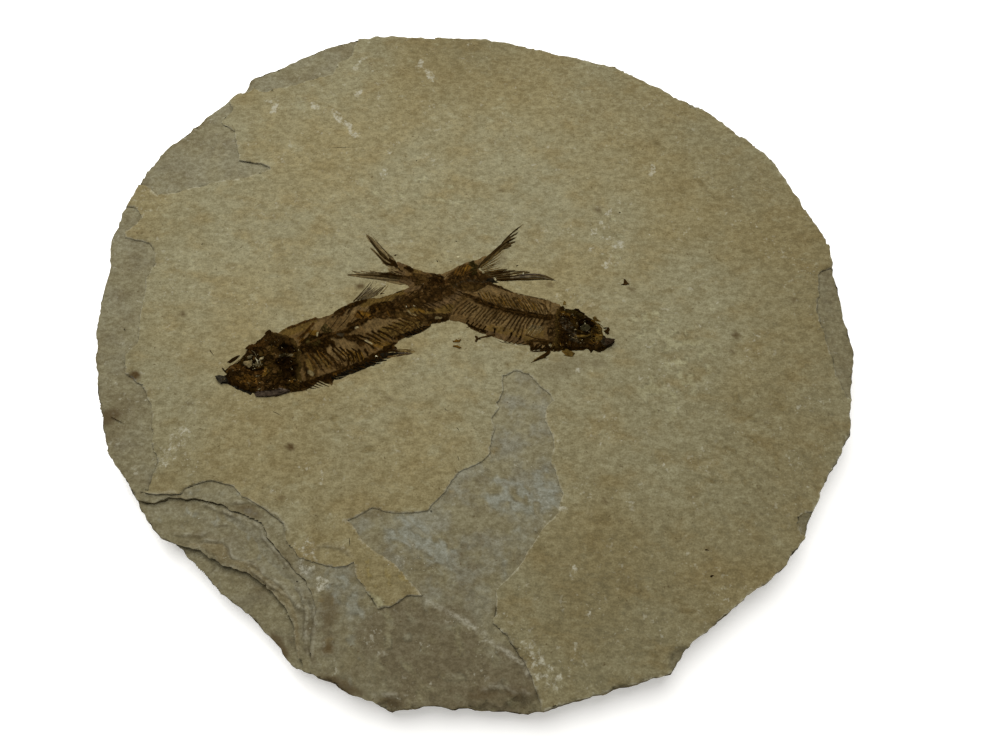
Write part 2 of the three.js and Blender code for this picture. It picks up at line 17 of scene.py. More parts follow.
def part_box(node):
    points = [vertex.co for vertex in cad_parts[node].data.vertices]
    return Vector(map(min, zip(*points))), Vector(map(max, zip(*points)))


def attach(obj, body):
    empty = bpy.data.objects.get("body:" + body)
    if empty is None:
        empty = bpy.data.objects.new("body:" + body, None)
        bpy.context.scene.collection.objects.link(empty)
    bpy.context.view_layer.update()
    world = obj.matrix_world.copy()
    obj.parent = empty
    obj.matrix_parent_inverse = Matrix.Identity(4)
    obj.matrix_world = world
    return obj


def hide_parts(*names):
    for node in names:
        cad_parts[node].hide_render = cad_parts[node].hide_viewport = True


bl_info = {
    "name": "Fossil Fish Plate",
    "version": (1, 0, 0),
    "blender": (4, 5, 0),
    "location": "3D View > Sidebar > Fossil",
    "description": "Dresses the solids of a fossil fish plate in stone, bone and skin film",
    "category": "Object",
}

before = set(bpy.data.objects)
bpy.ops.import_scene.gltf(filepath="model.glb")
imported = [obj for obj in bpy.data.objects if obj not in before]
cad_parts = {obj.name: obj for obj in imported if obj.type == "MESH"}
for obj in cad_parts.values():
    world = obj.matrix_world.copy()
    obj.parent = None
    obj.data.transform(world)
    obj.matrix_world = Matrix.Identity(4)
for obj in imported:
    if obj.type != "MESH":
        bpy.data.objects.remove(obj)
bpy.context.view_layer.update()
MM = 0.001
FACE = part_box("limestone_slab")[1].z / MM

# Heights in millimetres, as in the solids
LAMINA = 0.4
STEP_DOWN = 1.0
SUNK = 0.12
EDGE_SINK = 0.06
# How much less deep the first bed lies than in the solids
SHALLOWER = 0.12


def points(*run):
    """The points of a line or an outline, from a run of x and y in millimetres."""
    return list(zip(run[::2], run[1::2]))


def rows(fields, *table):
    """Rows of a table: so many fields, then one run or several runs of x and y, which become points."""
    return [(*row[:fields], [points(*run) for run in row[fields:]] if isinstance(row[fields], tuple)
             else points(*row[fields:])) for row in table]


# The bed that lies bare to the south of the fish
SOUTH_LEDGE = points(
    8.1, -16.6, 7.9, -20.5, 6.4, -23.4, 7.1, -24.8, 5.4, -27.6, 6, -29.4, 5, -35.6, 3, -37.6, -2.2, -40.2,
    -4.7, -44.4, -8.5, -49.1, -16, -49.5, -20.4, -48.2, -25.6, -51, -22.4, -55, -19, -58, -14.5, -61,
    -8.8, -67, -15, -69.3, -20.2, -66.6, -25, -60.9, -35.4, -59.4, -31, -69.5, -31, -92, 17, -92, 12.7, -81,
    5.8, -72.9, 6.7, -66, 15, -54.8, 20.8, -45, 18.5, -38, 19.3, -32.6, 17.3, -28, 19.6, -23, 16.2, -19.6,
    11.2, -15.3)
# The sheet that still covers the upper part of that ledge
THIN_SHEET = points(
    -20.4, -48.2, -27, -50, -23, -56, -19, -58, -14.5, -61, -8.8, -67, -4, -70, 1, -73, 7, -77, 12, -80.5,
    16, -84, 22, -60, 24, -40, 12, -12, 2, -36, -8, -46)
# Soft patches on the stone: x, y, half length, half width, turn in degrees, strength
CHALK = [
    (-65.5, -34, 5.6, 2.2, 62, 0.8), (-79, -33.5, 1.6, 1.2, 0, 0.8), (-54, 63, 2.4, 0.9, 80, 1),
    (-54.9, 65.9, 2.4, 0.9, 0, 0.8), (-42.9, 64, 2, 0.9, -50, 1), (-40.2, 62.6, 0.8, 1.4, 0, 0.8),
    (-36.6, 60.6, 3.1, 1, -56, 1), (-33.4, 57.2, 1.5, 0.9, -60, 1), (-32, 54.4, 1.8, 0.9, -50, 1),
    (-34.8, 62.4, 0.8, 0.6, 0, 0.6), (-28.2, 57.2, 1.4, 0.6, -40, 0.5), (-32.9, 77.8, 1.8, 0.9, 70, 1),
    (-31.2, 80.7, 1.8, 0.9, 40, 0.8), (-28, 77.6, 3, 2.2, 0, 0.62), (-31.6, 68.7, 1.6, 0.9, 70, 1),
    (-27, 71.6, 1.6, 1, 20, 0.75), (-25.2, 67.4, 2.2, 1.2, 80, 0.75), (-22.4, 72.3, 0.9, 0.6, 60, 0.6),
    (-15.4, 79.2, 2.4, 0.9, 70, 1), (-12.4, 75, 2.9, 1.1, -58, 0.95), (-12, 75.8, 1.8, 0.7, 60, 0.8),
    (-11, 84.8, 1.5, 0.7, 75, 0.7), (-11.4, 63.8, 1.6, 1, 80, 0.8), (-22.2, 48.8, 1.4, 0.8, -60, 0.8),
    (-23, 41.3, 1.8, 1, 80, 0.9), (-13.8, 36.5, 2, 0.8, 10, 0.5), (-43, 32.8, 2.6, 2.6, 0, 0.5),
    (46.4, 42.4, 2, 1, 70, 0.9), (34.6, 29, 1.6, 0.8, 50, 1), (32.6, 26, 1.6, 0.8, 60, 0.9),
    (30.7, 23.3, 1.3, 1, 30, 0.9), (29.6, 18, 1.7, 0.8, 40, 0.9), (34, 21.2, 2, 0.8, 0, 0.85),
    (36.9, 19.3, 1.7, 1.4, 0, 0.95), (33.6, 13.8, 1.7, 0.9, 55, 1), (36.7, 15.3, 0.6, 0.5, 0, 0.9),
    (28.9, 11, 0.5, 0.6, 0, 0.8), (34.7, 8.7, 0.8, 0.5, -50, 0.8), (45.9, 26.6, 2, 0.9, 10, 0.7),
    (50, 17.9, 1.4, 1, 0, 0.6), (40.4, 35, 1.6, 1, 40, 0.5), (30.5, 63, 1.6, 0.8, 80, 0.6),
    (25.3, -15.4, 0.7, 0.6, 0, 1), (27.9, -19.7, 0.5, 0.6, 0, 0.8), (30.9, -27.2, 0.6, 0.9, 0, 0.8),
    (16, -16.9, 0.5, 1, 0, 0.7), (15, -80.5, 2, 5.4, 28, 0.85), (18, -83.5, 2, 2.4, 0, 0.8),
    (26, -70, 2.2, 2.6, -20, 0.7), (-33.6, -59.6, 2.2, 3.4, 8, 0.8), (-30, -64.5, 1.6, 1.6, 0, 0.9),
    (-20, -66.5, 2.4, 1.4, -20, 0.5), (22.6, -62, 1, 1.6, -10, 0.8), (-33, -23, 0.5, 1.2, -20, 1),
    (-3.2, 15.7, 0.5, 0.5, 0, 1), (23.8, -26.3, 0.7, 0.5, -30, 1), (20.5, -48.5, 0.8, 1.6, 35, 0.9),
    (-12, -41, 0.5, 1.4, 0, 0.7), (-71, -39, 3, 1.2, 70, 0.6), (22.5, -77.5, 0.8, 1.4, 0, 0.8),
    (-6, -85, 3, 1, 0, 0.5), (51.2, -57.6, 0.8, 0.5, 0, 0.8),
]
# Rusty spots and stains, given the same way
SPOTS = [
    (-69, -0.5, 0.9, 0.8, 0, 0.7), (-77.5, -16.5, 1.5, 1.3, 0, 1), (-63.5, -24, 0.8, 0.7, 0, 0.5),
    (-39.6, -34.4, 1.1, 1.1, 0, 1), (30, -47, 0.9, 0.7, 0, 0.6), (63, -6, 1, 0.9, 0, 0.9),
    (61.5, -10.5, 0.7, 0.7, 0, 0.7), (32, 30, 0.9, 0.9, 0, 0.7), (78, 3.5, 0.9, 0.8, 0, 0.6),
    (7.5, 36, 0.8, 0.6, 0, 0.5), (-26.8, 7.2, 1.2, 1, 0, 0.9), (19.2, 7.8, 0.9, 0.7, 0, 0.6),
    (-82, -27, 3.6, 2.2, 20, 0.8), (39, 6.6, 1.2, 0.7, -20, 0.6), (-27.6, -77.6, 0.9, 1.2, 0, 0.8),
    (0, -42.5, 0.8, 2.4, 0, 0.3), (6.6, 15, 3.2, 2, 45, 0.3), (22, -14.5, 7, 3, 20, 0.25),
    (30, -13.5, 2, 1.4, 0, 0.35), (-17.8, -22.8, 1.2, 0.6, -20, 0.4), (-47, -49, 3.6, 1.2, -25, 0.5),
    (-40, -46, 0.8, 0.5, 0, 0.5), (-28, -70, 2, 4, 10, 0.4), (4, -86.3, 3.4, 1.2, 5, 0.45),
    (-14.8, -87.6, 3, 1, -12, 0.45), (11, -86, 3.6, 1.2, -12, 0.35), (-24, -84.6, 5, 1, -22, 0.7),
    (-38, -76.6, 3.4, 1, -50, 0.7),
]
# Stone left standing on the lower steps: step it lies on, thickness, width of its slope, tint, cover, outline
REMNANTS = rows(5,
    (STEP_DOWN, 0.62, 2.4, "bloom", 0.2, -53.4, -48.6, -51, -47, -47.6, -49, -43, -51, -41.4, -54.6,
     -38, -58, -32.6, -63.4, -30, -68, -31.6, -71.4, -33.4, -69, -36.4, -65, -41, -61, -44.4, -57.6,
     -46.6, -54.4, -49.6, -52.6, -52.6, -50.6),
    (STEP_DOWN, 0.26, 0.9, "bed_ochre", 0.4, -61, -55.6, -57.4, -55.9, -54.6, -55.3, -51.8, -55.6,
     -50.6, -57.4, -49.6, -58.9, -46.4, -59.7, -44, -60.6, -42.4, -62.4, -40, -64, -37.4, -65.8, -35.8, -68,
     -34.4, -70.4, -33.4, -74.4, -33, -79.6, -33.8, -79.4, -34.6, -76, -35, -72.6, -37.4, -68.7, -42, -64.6,
     -46.3, -62, -51.8, -60.2, -56.6, -57.4))
# Thin layers that end along a line, raised to the left of it: rise, how far the layer runs back, and the line
SCARPS = rows(2,
    (0.15, 2.6, -52, -47.6, -50, -47.1, -47.6, -47.2, -45, -48, -42.6, -49.2, -40.6, -50.4, -39, -52.2,
     -38, -54.6),
    (0.13, 1.4, -58.4, -47.2, -55.4, -48.4, -52, -49.6, -49.6, -50.8, -48.2, -51.8),
    (0.1, 1.2, -55.4, -52.2, -53, -52, -50, -52.1),
    (0.12, 2.2, -64, -54, -62, -54.4, -59.6, -54.7, -57, -54.1, -55, -53.4),
    (0.16, 3, -57.6, -56, -55.2, -55.4, -52, -55.4, -50.8, -56.4, -50.2, -58.2, -48.8, -59.4, -46.2, -59.8,
     -43.8, -60.5),
    (0.2, 1.6, -48.6, -59.4, -45, -60.6, -43, -61.6, -41.8, -63.2, -40.2, -64.4, -38.2, -65.1, -36.5, -66.6,
     -35.4, -68.2, -34, -69.8, -32.8, -70.8),
    (0.16, 1, -46, -61.6, -43.6, -63, -41, -65, -38.4, -66.3, -36, -67.6, -34.4, -69.6),
    (0.16, 1.4, -36, -64.4, -34.2, -66.8, -33, -70, -32.6, -74, -32.2, -79.6),
    (0.14, 1.6, -33, -66.4, -31.6, -69, -31, -72, -30.8, -76, -31.2, -80),
    (0.12, 2.2, -47, -50.6, -44.6, -52.6, -43.4, -55, -41, -57.4, -38.6, -60, -36.4, -62.4),
    (0.1, 1.6, -43.6, -54.4, -42.4, -54.8, -41.6, -55.6),
    (0.12, 1.6, -52.6, -60.4, -53.6, -61.2, -54.6, -62.6),
    (0.1, 2.4, -72, -45.3, -68, -45.3, -64, -45, -62, -45.4),
    (0.12, 1.6, -32.6, -57.6, -30, -57, -27.4, -57, -25.4, -57.8, -23.4, -59.6),
    (-0.09, 2.6, -8.8, -67.5, -4, -70, 1, -73, 7, -77, 12, -80.6, 14, -84),
    (0.2, 2.4, -19.4, -86.9, -16.4, -86.4, -14, -86.7, -12, -87.4),
    (0.24, 3, 3, -86.4, 5.4, -85.4, 8, -85, 11, -86, 13.4, -86.9, 16, -86.7))
# Broad changes of tone over the plate: place, radius, change
TONES = [
    (-5, 86, 34, -0.15), (-66, 8, 26, 0.05), (55, 0, 28, 0.06), (47, -38, 20, 0.03), (27, -66, 26, -0.09),
    (-37, -28, 20, -0.04),
]
# Brush strokes on the bared beds and on the face: tint, radius, strength, line
BED_STROKES = rows(3,
    ("bloom", 3.6, 0.58, 7, -45, 12, -46, 17, -45.5), ("bloom", 2.2, 0.43, 16.8, -40.6, 18.6, -44),
    ("bloom", 3.6, 0.54, -14, -53, -9, -55.5, -5, -58.5), ("bloom", 2.4, 0.36, 9, -53, 13, -52),
    ("bloom", 2.4, 0.5, -27.5, -63.5, -25, -67, -23, -70),
    ("bloom", 2.4, 0.32, -24, -74, -20, -79, -21, -84), ("bloom", 1.8, 0.36, 5.6, -62, 8.6, -61),
    ("bloom", 2, 0.29, -8, -67.6, -5, -69), ("bloom", 1.6, 0.29, -1, -50, 3, -50),
    ("bed_brown", 3.2, 0.36, -4.5, -43, 0, -43, 5, -41, 11, -41),
    ("bed_brown", 3.6, 0.43, 1, -56, -1, -61, -1, -66),
    ("bed_brown", 7, 0.65, -15, -75, -4, -76, 0, -83, -10, -84, 8, -84),
    ("bed_brown", 3, 0.5, -29.5, -73, -29, -79), ("bed_ochre", 1.4, 0.36, 6.4, -35.6, 8, -37),
    ("bed_ochre", 1.4, 0.36, 14, -34.5, 15, -37), ("bed_ochre", 1.2, 0.36, -3.8, -43.6, 0, -42.4),
    ("bed_ochre", 1.6, 0.36, -28, -75.6, -27.4, -79), ("bed_ochre", 0.9, 0.3, -50.6, -48.2, -48.6, -48.8),
    ("bed_ochre", 1.4, 0.36, -28.8, -67, -29.4, -70), ("bed_ochre", 0.9, 0.3, -62, -54.4, -57, -54.2),
    ("bloom", 3.2, 0.3, -66, -50, -58, -52, -48, -55, -41, -61),
    ("bloom", 2, 0.3, -60, -46, -52, -45, -44, -50), ("bloom", 2.6, 0.22, -52, -63, -44, -69, -39, -74),
    ("bed_brown", 1.4, 0.4, -38, -74.6, -36, -75.6))
FACE_STROKES = rows(3,
    ("pale_face", 6, 0.45, 44, -4, 52, -12, 44, -22), ("pale_face", 5, 0.35, 36, 16, 40, 28),
    ("pale_face", 6, 0.35, -30, 30, -10, 36, 4, 28), ("brown_face", 8, 0.35, 66, -26, 58, -44),
    ("brown_face", 6, 0.3, 62, 34, 50, 50), ("brown_face", 5, 0.35, -34, -26, -22, -34),
    ("ochre_face", 3, 0.4, -21, -62, -13, -65), ("pale_face", 1.4, 0.6, -21, -67.4, -18, -68.6))

# The large fish, its head to the west
LARGE_SKIN = points(
    -47.5, -5.1, -45.3, -5.3, -43.5, -3.8, -41, -2.8, -39, -1.9, -37, -1.2, -36.3, -1.5, -33, -0.2,
    -31.9, 0.9, -29.5, 2.3, -27.8, 3.2, -25, 4, -22, 4.2, -19, 5.2, -16, 6.7, -14.5, 7.3, -11, 9, -7, 11,
    -5, 12, -3, 13.3, -1, 14.3, 0, 14.6, 1.2, 15, 3.6, 16.3, 4.4, 15.6, 2.2, 13.4, 1.9, 12.2, 2.8, 11.6,
    3, 11, 4.4, 10.6, 5.4, 9.9, 6, 9, 6.8, 8.4, 5.2, 8, 2, 6, -0.8, 4.3, -4, 1, -5, -2.2, -7, -2.9,
    -9, -3.2, -9.6, -4, -10.8, -5.2, -13.5, -6.3, -16, -7.2, -17.6, -9, -16.2, -10.1, -14.4, -9.9,
    -12.5, -10.4, -13.6, -11.2, -16, -11.7, -18, -12.1, -20.5, -12.6, -22.5, -14, -25, -15.4, -29, -16.8,
    -30.9, -17.4, -31.4, -19.3, -33, -18.7, -34.6, -18.2, -36, -19.6, -38, -20.7, -41, -21.1, -44, -21.6,
    -46, -14)
LARGE_HEAD = points(
    -57.4, -14.8, -56.6, -15.2, -55.9, -14.2, -54.8, -13.4, -53.2, -11.8, -52.5, -10.6, -51.9, -9.2,
    -50.3, -7.8, -48.7, -6.1, -47.5, -5.1, -45.3, -5.4, -43.4, -5.9, -41.4, -6.8, -39.8, -8.6, -38.8, -11,
    -39.3, -12.4, -38.4, -14, -38.9, -16, -38.3, -18, -38.7, -19.2, -38, -20.4, -41, -21.1, -44, -22,
    -48, -22.1, -49.5, -21.3, -49.8, -22, -51, -21.3, -53.5, -20.3, -55.5, -19, -57, -18.9, -58.5, -17.3,
    -57.4, -16.9, -56.4, -16.4, -56.8, -15.8)
LARGE_COLUMN = points(
    -40.4, -9.4, -38, -8.5, -34, -6.5, -30, -5, -26, -2.5, -22, -0.3, -18, 1.5, -14, 3.5, -10, 5.5, -6, 7.8,
    -2, 10, 1.4, 11.7)
LARGE_EYE = (-49.8, -13.6)
# Skull plates: height above the plate's face, width of the sloping edge, outline
LARGE_SKULL = rows(2,
    (0.64, 1, -47.3, -5.5, -52.3, -10.4, -54.6, -12.3, -53.2, -12.9, -51.2, -11, -47.5, -10, -42.6, -8.8,
     -41, -7, -44, -5.9),
    (0.48, 1.2, -46.8, -10.6, -44.6, -9.6, -44.8, -13, -44, -17, -41.6, -19.4, -44.4, -20.6, -48.3, -20.8,
     -46, -16),
    (0.48, 0.8, -58, -17.5, -56.4, -17.1, -53.6, -18.1, -51.4, -19.9, -50, -21.5, -52.6, -20.4,
     -56.8, -18.6),
    (0.56, 0.8, -55.6, -14.4, -53.4, -14.4, -52.4, -15.6, -50.2, -16.4, -51, -18, -55.6, -16.8))
# Bony sheets laid on a head: tint, thickness, how much it tilts to the east and north, outline
LARGE_SHARDS = rows(3,
    ("bone_dark", 0.3, (0, 0), -48.4, -5.9, -47.5, -4.8, -46.9, -5.3, -47.2, -6.8, -48, -7),
    ("red_brown", 0.3, (0, 0), -52.4, -10.2, -51.8, -9.2, -50.8, -8.9, -50.2, -9.6, -51, -10.4),
    ("tan_shard", 0.2, (0.06, 0.12), -53.3, -13.9, -52.7, -13.3, -51.6, -13.1, -50.9, -12.9, -50.4, -13.4,
     -50.5, -14.2, -51, -14.8, -52.2, -14.7, -52.9, -14.3),
    ("greenish", 0.16, (0, 0.1), -49.9, -13.3, -49.3, -13, -48.5, -13.1, -48, -13.8, -48.2, -14.8, -49, -15,
     -49.7, -14.6),
    ("greenish", 0.12, (0, 0.1), -51.9, -12.3, -51.2, -11.8, -50.6, -11.8, -50.8, -12.3, -51.4, -12.6),
    ("cream_dull", 0.22, (0.1, 0.1), -49, -12.5, -48.4, -12.1, -47.9, -12, -48, -12.6, -48.6, -12.9),
    ("ochre", 0.22, (-0.1, 0.1), -47.3, -15, -46.7, -15.4, -46.5, -16.4, -47, -17.2, -47.5, -16.8,
     -47, -16),
    ("bone_dark", 0.24, (0, 0.1), -56.5, -13.3, -55.4, -12.3, -54.4, -11.7, -53.7, -11.6, -54.6, -12.7,
     -55.6, -13.6),
    ("blue_grey", 0.22, (0, 0.1), -58.6, -17.2, -57.6, -16.9, -56.6, -17.1, -55.9, -17.6, -55.7, -18.6,
     -56.6, -18.6, -57, -19, -57.7, -18.4),
    ("purple_grey", 0.24, (0, 0.1), -49, -21.6, -47, -20.9, -44.6, -20.8, -42.2, -20.6, -41.2, -20.8,
     -43, -21.6, -46, -22.1, -48.6, -22.1))
# Thin slivers of bone laid on a head: half width, tint, path
LARGE_SLIVERS = rows(2,
    (0.2, "cream_dull", -55, -13.7, -53.9, -12.7, -53.1, -11.7, -52.3, -10.8),
    (0.1, "tan_shard", -54.6, -13.9, -53.4, -12.8, -52.6, -11.8),
    (0.13, "cream", -50, -12.2, -49.4, -13, -49.1, -13.9, -48.8, -14.7),
    (0.11, "cream", -49.2, -13.1, -48.7, -12.5, -48.1, -12.1),
    (0.09, "cream_dull", -50.9, -10.6, -50.3, -10.9, -49.9, -11.5, -49.7, -12.2),
    (0.08, "cream_dull", -51.8, -12.2, -51, -11.6, -50.2, -11.6),
    (0.09, "tan_shard", -52.8, -14, -51.8, -13.8, -50.8, -13.6),
    (0.12, "cream_dull", -49.3, -17.1, -48.7, -17, -48.1, -16.8),
    (0.1, "tan_shard", -55.6, -15.4, -55, -15.2, -54.3, -15.3),
    (0.1, "rust", -54.4, -15, -53, -15.1, -51.8, -15.4),
    (0.14, "tan_shard", -51, -18.5, -50.6, -18.9, -50.3, -19.2),
    (0.09, "cream_dull", -48.3, -18.8, -48, -18.8, -47.8, -18.9),
    (0.13, "cream_dull", -48.3, -20.5, -47.9, -20.4, -47.5, -20.3),
    (0.1, "tan_shard", -48.1, -8, -47.8, -8, -47.4, -8.2),
    (0.11, "cream_dull", -44, -9.6, -43.9, -9.8, -43.8, -10),
    (0.09, "cream_dull", -41.6, -13.1, -41.4, -13.3, -41.3, -13.5),
    (0.1, "cream_dull", -40.1, -10.1, -40, -10.3, -39.9, -10.5),
    (0.07, "tan_shard", -41.1, -10.2, -41, -10.5, -41, -10.8),
    (0.09, "tan_shard", -40.4, -17.9, -40, -18.1, -39.6, -18),
    (0.09, "tan_shard", -39, -18.1, -38.7, -18.4, -38.4, -18.3),
    (0.11, "ochre", -41.6, -18.4, -40.8, -18, -40, -17.8),
    (0.1, "cream", -50.6, -13.2, -51.4, -13.5, -52.4, -14.2),
    (0.1, "black", -50.2, -12.8, -50.1, -13.8, -49.8, -14.8),
    (0.07, "cream_dull", -48.7, -12.9, -48.5, -13.7, -48.2, -14.4),
    (0.07, "black", -49, -12.9, -48.8, -13.6, -48.6, -14.5),
    (0.09, "tan_shard", -47.1, -14.8, -46.6, -15.6, -46.8, -16.6, -47.6, -17.2),
    (0.11, "rust", -39.2, -7, -39.8, -7.8, -40, -8.6, -39.7, -9.6),
    (0.14, "olive_dark", -44.3, -12, -43.4, -11.6, -42.6, -11.6, -41.8, -11.9),
    (0.16, "black", -57.4, -14.7, -56.9, -15.4, -56.4, -16.2),
    (0.12, "black", -56.2, -14.9, -56.5, -15.5, -56.2, -16))
# The small fish, its head to the east
SMALL_SKIN = points(
    21.6, 2.4, 20, 3, 18, 3.7, 14, 4.6, 11.5, 5.3, 10, 5.9, 8, 7, 6.8, 7.7, 5, 8.4, 2, 9.5, -3, 10.4,
    -8.5, 11, -12, 11.7, -14.4, 12.6, -16, 13.6, -18.2, 14.6, -19, 13.2, -20.4, 12.2, -19.6, 11.2,
    -17.2, 10.4, -19.6, 8.8, -19, 8.4, -16, 7.7, -14.6, 6.8, -11.5, 5.6, -9, 3, -7, 0, -5, -2.3, -2.6, -2.6,
    -0.9, -3.3, 0, -4.4, 2, -5.5, 4, -6.2, 6, -7, 9, -8.2, 12, -8.8, 14, -9.1, 14.1, -10.6, 16, -10.1,
    18.3, -10.5, 21.3, -10.6, 23, -7, 23, 0)
SMALL_HEAD = points(
    20, -0.6, 20.4, 0.8, 21.6, 1.7, 22.4, 2, 23.2, 1.2, 24.6, 0.9, 25.2, 1, 26.2, 0.3, 27.2, -0.5, 28.2, -1,
    29, -1.6, 30.2, -2.6, 31, -3.2, 31.6, -4.2, 31.6, -5.6, 32.4, -6.7, 34, -7.2, 34.5, -7.7, 33.5, -9.2,
    31.9, -10.2, 30.4, -10.9, 29.2, -10.4, 28.3, -11, 28, -10.1, 26, -10.3, 24.8, -10.5, 23, -10.4,
    21.6, -10.4, 18.8, -10.4, 19, -8.6, 20, -6, 19.6, -3)
SMALL_COLUMN = points(
    20.4, -1.4, 18, -1.2, 14, -0.7, 12, -0.3, 8, 0.7, 4, 2.1, 1, 3.7, -5, 6.5, -10, 8.3, -16.4, 9.9)
SMALL_EYE = (27.4, -4)
SMALL_SKULL = rows(2,
    (0.4, 0.9, 20.8, 0.4, 24.2, 0.6, 25, -2.4, 24.5, -6, 24.8, -9.4, 22.6, -9.9, 20.8, -7.6, 20.2, -3.6),
    (0.48, 0.7, 24.4, 1, 26.2, 0.2, 28.6, -1.3, 30.4, -2.7, 29.6, -3.7, 27.4, -2.1, 25, -1.2),
    (0.48, 0.7, 31.6, -7.1, 34, -7.8, 32.9, -9.4, 30.6, -10.3, 29.6, -9))
SMALL_SHARDS = rows(3,
    ("slate_green", 0.26, (0, 0.1), 26.1, -4.3, 26.7, -3.6, 27.6, -3.4, 28.4, -3.7, 28.7, -4.4, 28, -5.1,
     27, -5.2, 26.3, -4.9),
    ("black", 0.3, (0, 0.1), 25.2, 1.1, 26, 0.8, 26.6, 0.1, 27.5, -0.3, 27.3, -0.9, 26.3, -0.5, 25.3, 0.2),
    ("black", 0.24, (0, 0), 26, -2.6, 26.9, -2.3, 27, -3, 26.4, -3.4),
    ("black", 0.24, (0, 0), 28.3, -2.5, 28.9, -2.9, 29.3, -4, 28.8, -3.8),
    ("golden", 0.18, (0.1, 0), 30.2, -3.2, 30.9, -3.8, 31.2, -5, 30.9, -5.8, 30.7, -4.8),
    ("golden", 0.18, (0, 0.1), 29.4, -7, 30.3, -6.4, 31, -6.8, 30.6, -7.6, 29.8, -8.2),
    ("bone_dark", 0.22, (0, 0), 32, -5.4, 32.1, -4.6, 32.5, -4.5, 32.7, -4, 33.1, -4.1, 33.2, -4.8,
     32.9, -5.2, 33, -5.8, 32.5, -6, 32.3, -5.5),
    ("golden", 0.16, (0.1, 0), 24.8, -6.7, 26.2, -6.4, 27.4, -6.6, 28.6, -6.4, 28, -6.8, 26.4, -7,
     25.4, -7),
    ("golden", 0.14, (0, 0.1), 29.2, -1.3, 29.9, -1, 30.4, -1.8, 31.2, -2.5, 30.3, -2.5, 29.5, -2.2),
    ("golden", 0.12, (0.1, 0.1), 21.6, -10, 22.2, -9.4, 23.4, -10.2, 24.7, -10.9, 24.2, -11.8, 22.6, -12,
     21.7, -11.2),
    ("film_ochre", 0.1, (0, 0), 22.2, 2.1, 22.5, 3.3, 22.9, 3.1, 23, 2),
    ("snout", 0.2, (0.1, 0), 31.8, -7.3, 33.2, -7.4, 34.2, -7.7, 33.4, -8.9, 31.8, -9.4))
SMALL_SLIVERS = rows(2,
    (0.16, "amber", 29.4, -6.3, 30.4, -6.4, 31, -7.2, 30.8, -8),
    (0.1, "ochre", 29, -6.9, 30, -7.2, 30.2, -8), (0.13, "amber", 30.5, -3.3, 31.2, -4.4, 31, -5.8),
    (0.1, "ochre", 30.1, -3.6, 30.6, -4.6, 30.4, -5.6), (0.1, "amber", 28.4, -7.5, 29, -8.2, 29.8, -8.4),
    (0.1, "ochre", 24.2, -1.2, 25, -1.8, 25.6, -1.8), (0.14, "amber", 21.2, -8.2, 21.5, -9.2, 22, -10.2),
    (0.1, "amber", 22, -10.8, 23, -11.2, 24.4, -11.2), (0.08, "umber", 22, -11.4, 23, -11.6, 24.2, -11.5),
    (0.1, "amber", 25.2, -6.5, 26.4, -6.5, 27.8, -6.8),
    (0.1, "cream_dull", 29.8, -6.6, 30.2, -7.4, 29.9, -8),
    (0.09, "tan_shard", 24, -7, 24.8, -7.4, 25.4, -8),
    (0.08, "tan_shard", 21.4, -1.2, 22, -1.4, 22.7, -1.3),
    (0.08, "tan_shard", 23.4, -2.8, 23.6, -3.4, 23.5, -4), (0.08, "slate", 21.6, -4, 22.4, -4.4, 23, -5),
    (0.08, "slate", 22, -6.2, 22.8, -6.6, 23.6, -6.6), (0.1, "ochre", 23, -0.6, 23.6, -1.2, 23.6, -2),
    (0.1, "cream_dull", 24.4, -0.8, 24.6, -1, 24.7, -1.3),
    (0.08, "tan_shard", 22.1, -2, 22.3, -2.1, 22.5, -2.1),
    (0.09, "cream_dull", 27.1, -2.5, 27.3, -2.5, 27.5, -2.6),
    (0.13, "tan_shard", 25.5, -2.8, 25.4, -3.3, 25.6, -3.8),
    (0.1, "cream_dull", 24.8, -5, 25.1, -4.9, 25.4, -5.2),
    (0.12, "tan_shard", 25, -7.2, 25.3, -7.3, 25.6, -7.6), (0.1, "rust", 28, -8.4, 28.6, -8.5, 29, -8.8),
    (0.1, "rust", 29, -6, 29.8, -6, 30.6, -6.2), (0.12, "tan_shard", 23.9, 1, 24.2, 0.8, 24.6, 0.9),
    (0.1, "black", 24.9, -5.7, 26, -5.9, 27.4, -5.8, 29.2, -5.1),
    (0.1, "tan_shard", 18.8, -8.6, 19, -8.9, 19.3, -9.2), (0.22, "black", 24.8, 0.8, 25.4, 0.7, 26, 0.3),
    (0.14, "amber", 28.8, -2.6, 29.6, -3, 30.6, -3.2),
    (0.1, "purple_grey", 32.4, -7.8, 33, -7.9, 33.6, -8.1),
    (0.1, "black", 32.2, -8.2, 32.8, -8.5, 33.4, -8.3),
    (0.12, "bone_dark", 31.9, -8.6, 32.6, -8.9, 33.4, -8.8),
    (0.14, "black", 31.8, -7.2, 32.8, -7.2, 34, -7.6), (0.14, "black", 30.6, -3.6, 31, -4.6, 30.6, -5.8),
    (0.12, "bone_dark", 29.6, -6.4, 30.4, -7, 30.2, -8.2),
    (0.1, "bone_dark", 25.6, -7.3, 27, -7.1, 28.6, -7), (0.1, "golden", 31.2, -5, 31.5, -6, 31.2, -7),
    (0.1, "golden", 30.4, -2.8, 31.3, -3.6, 31.9, -4.3), (0.1, "golden", 28.2, -7.6, 29, -7.6, 29.6, -7.2),
    (0.09, "umber", 21.9, -10.6, 23, -10.9, 24.3, -10.8))
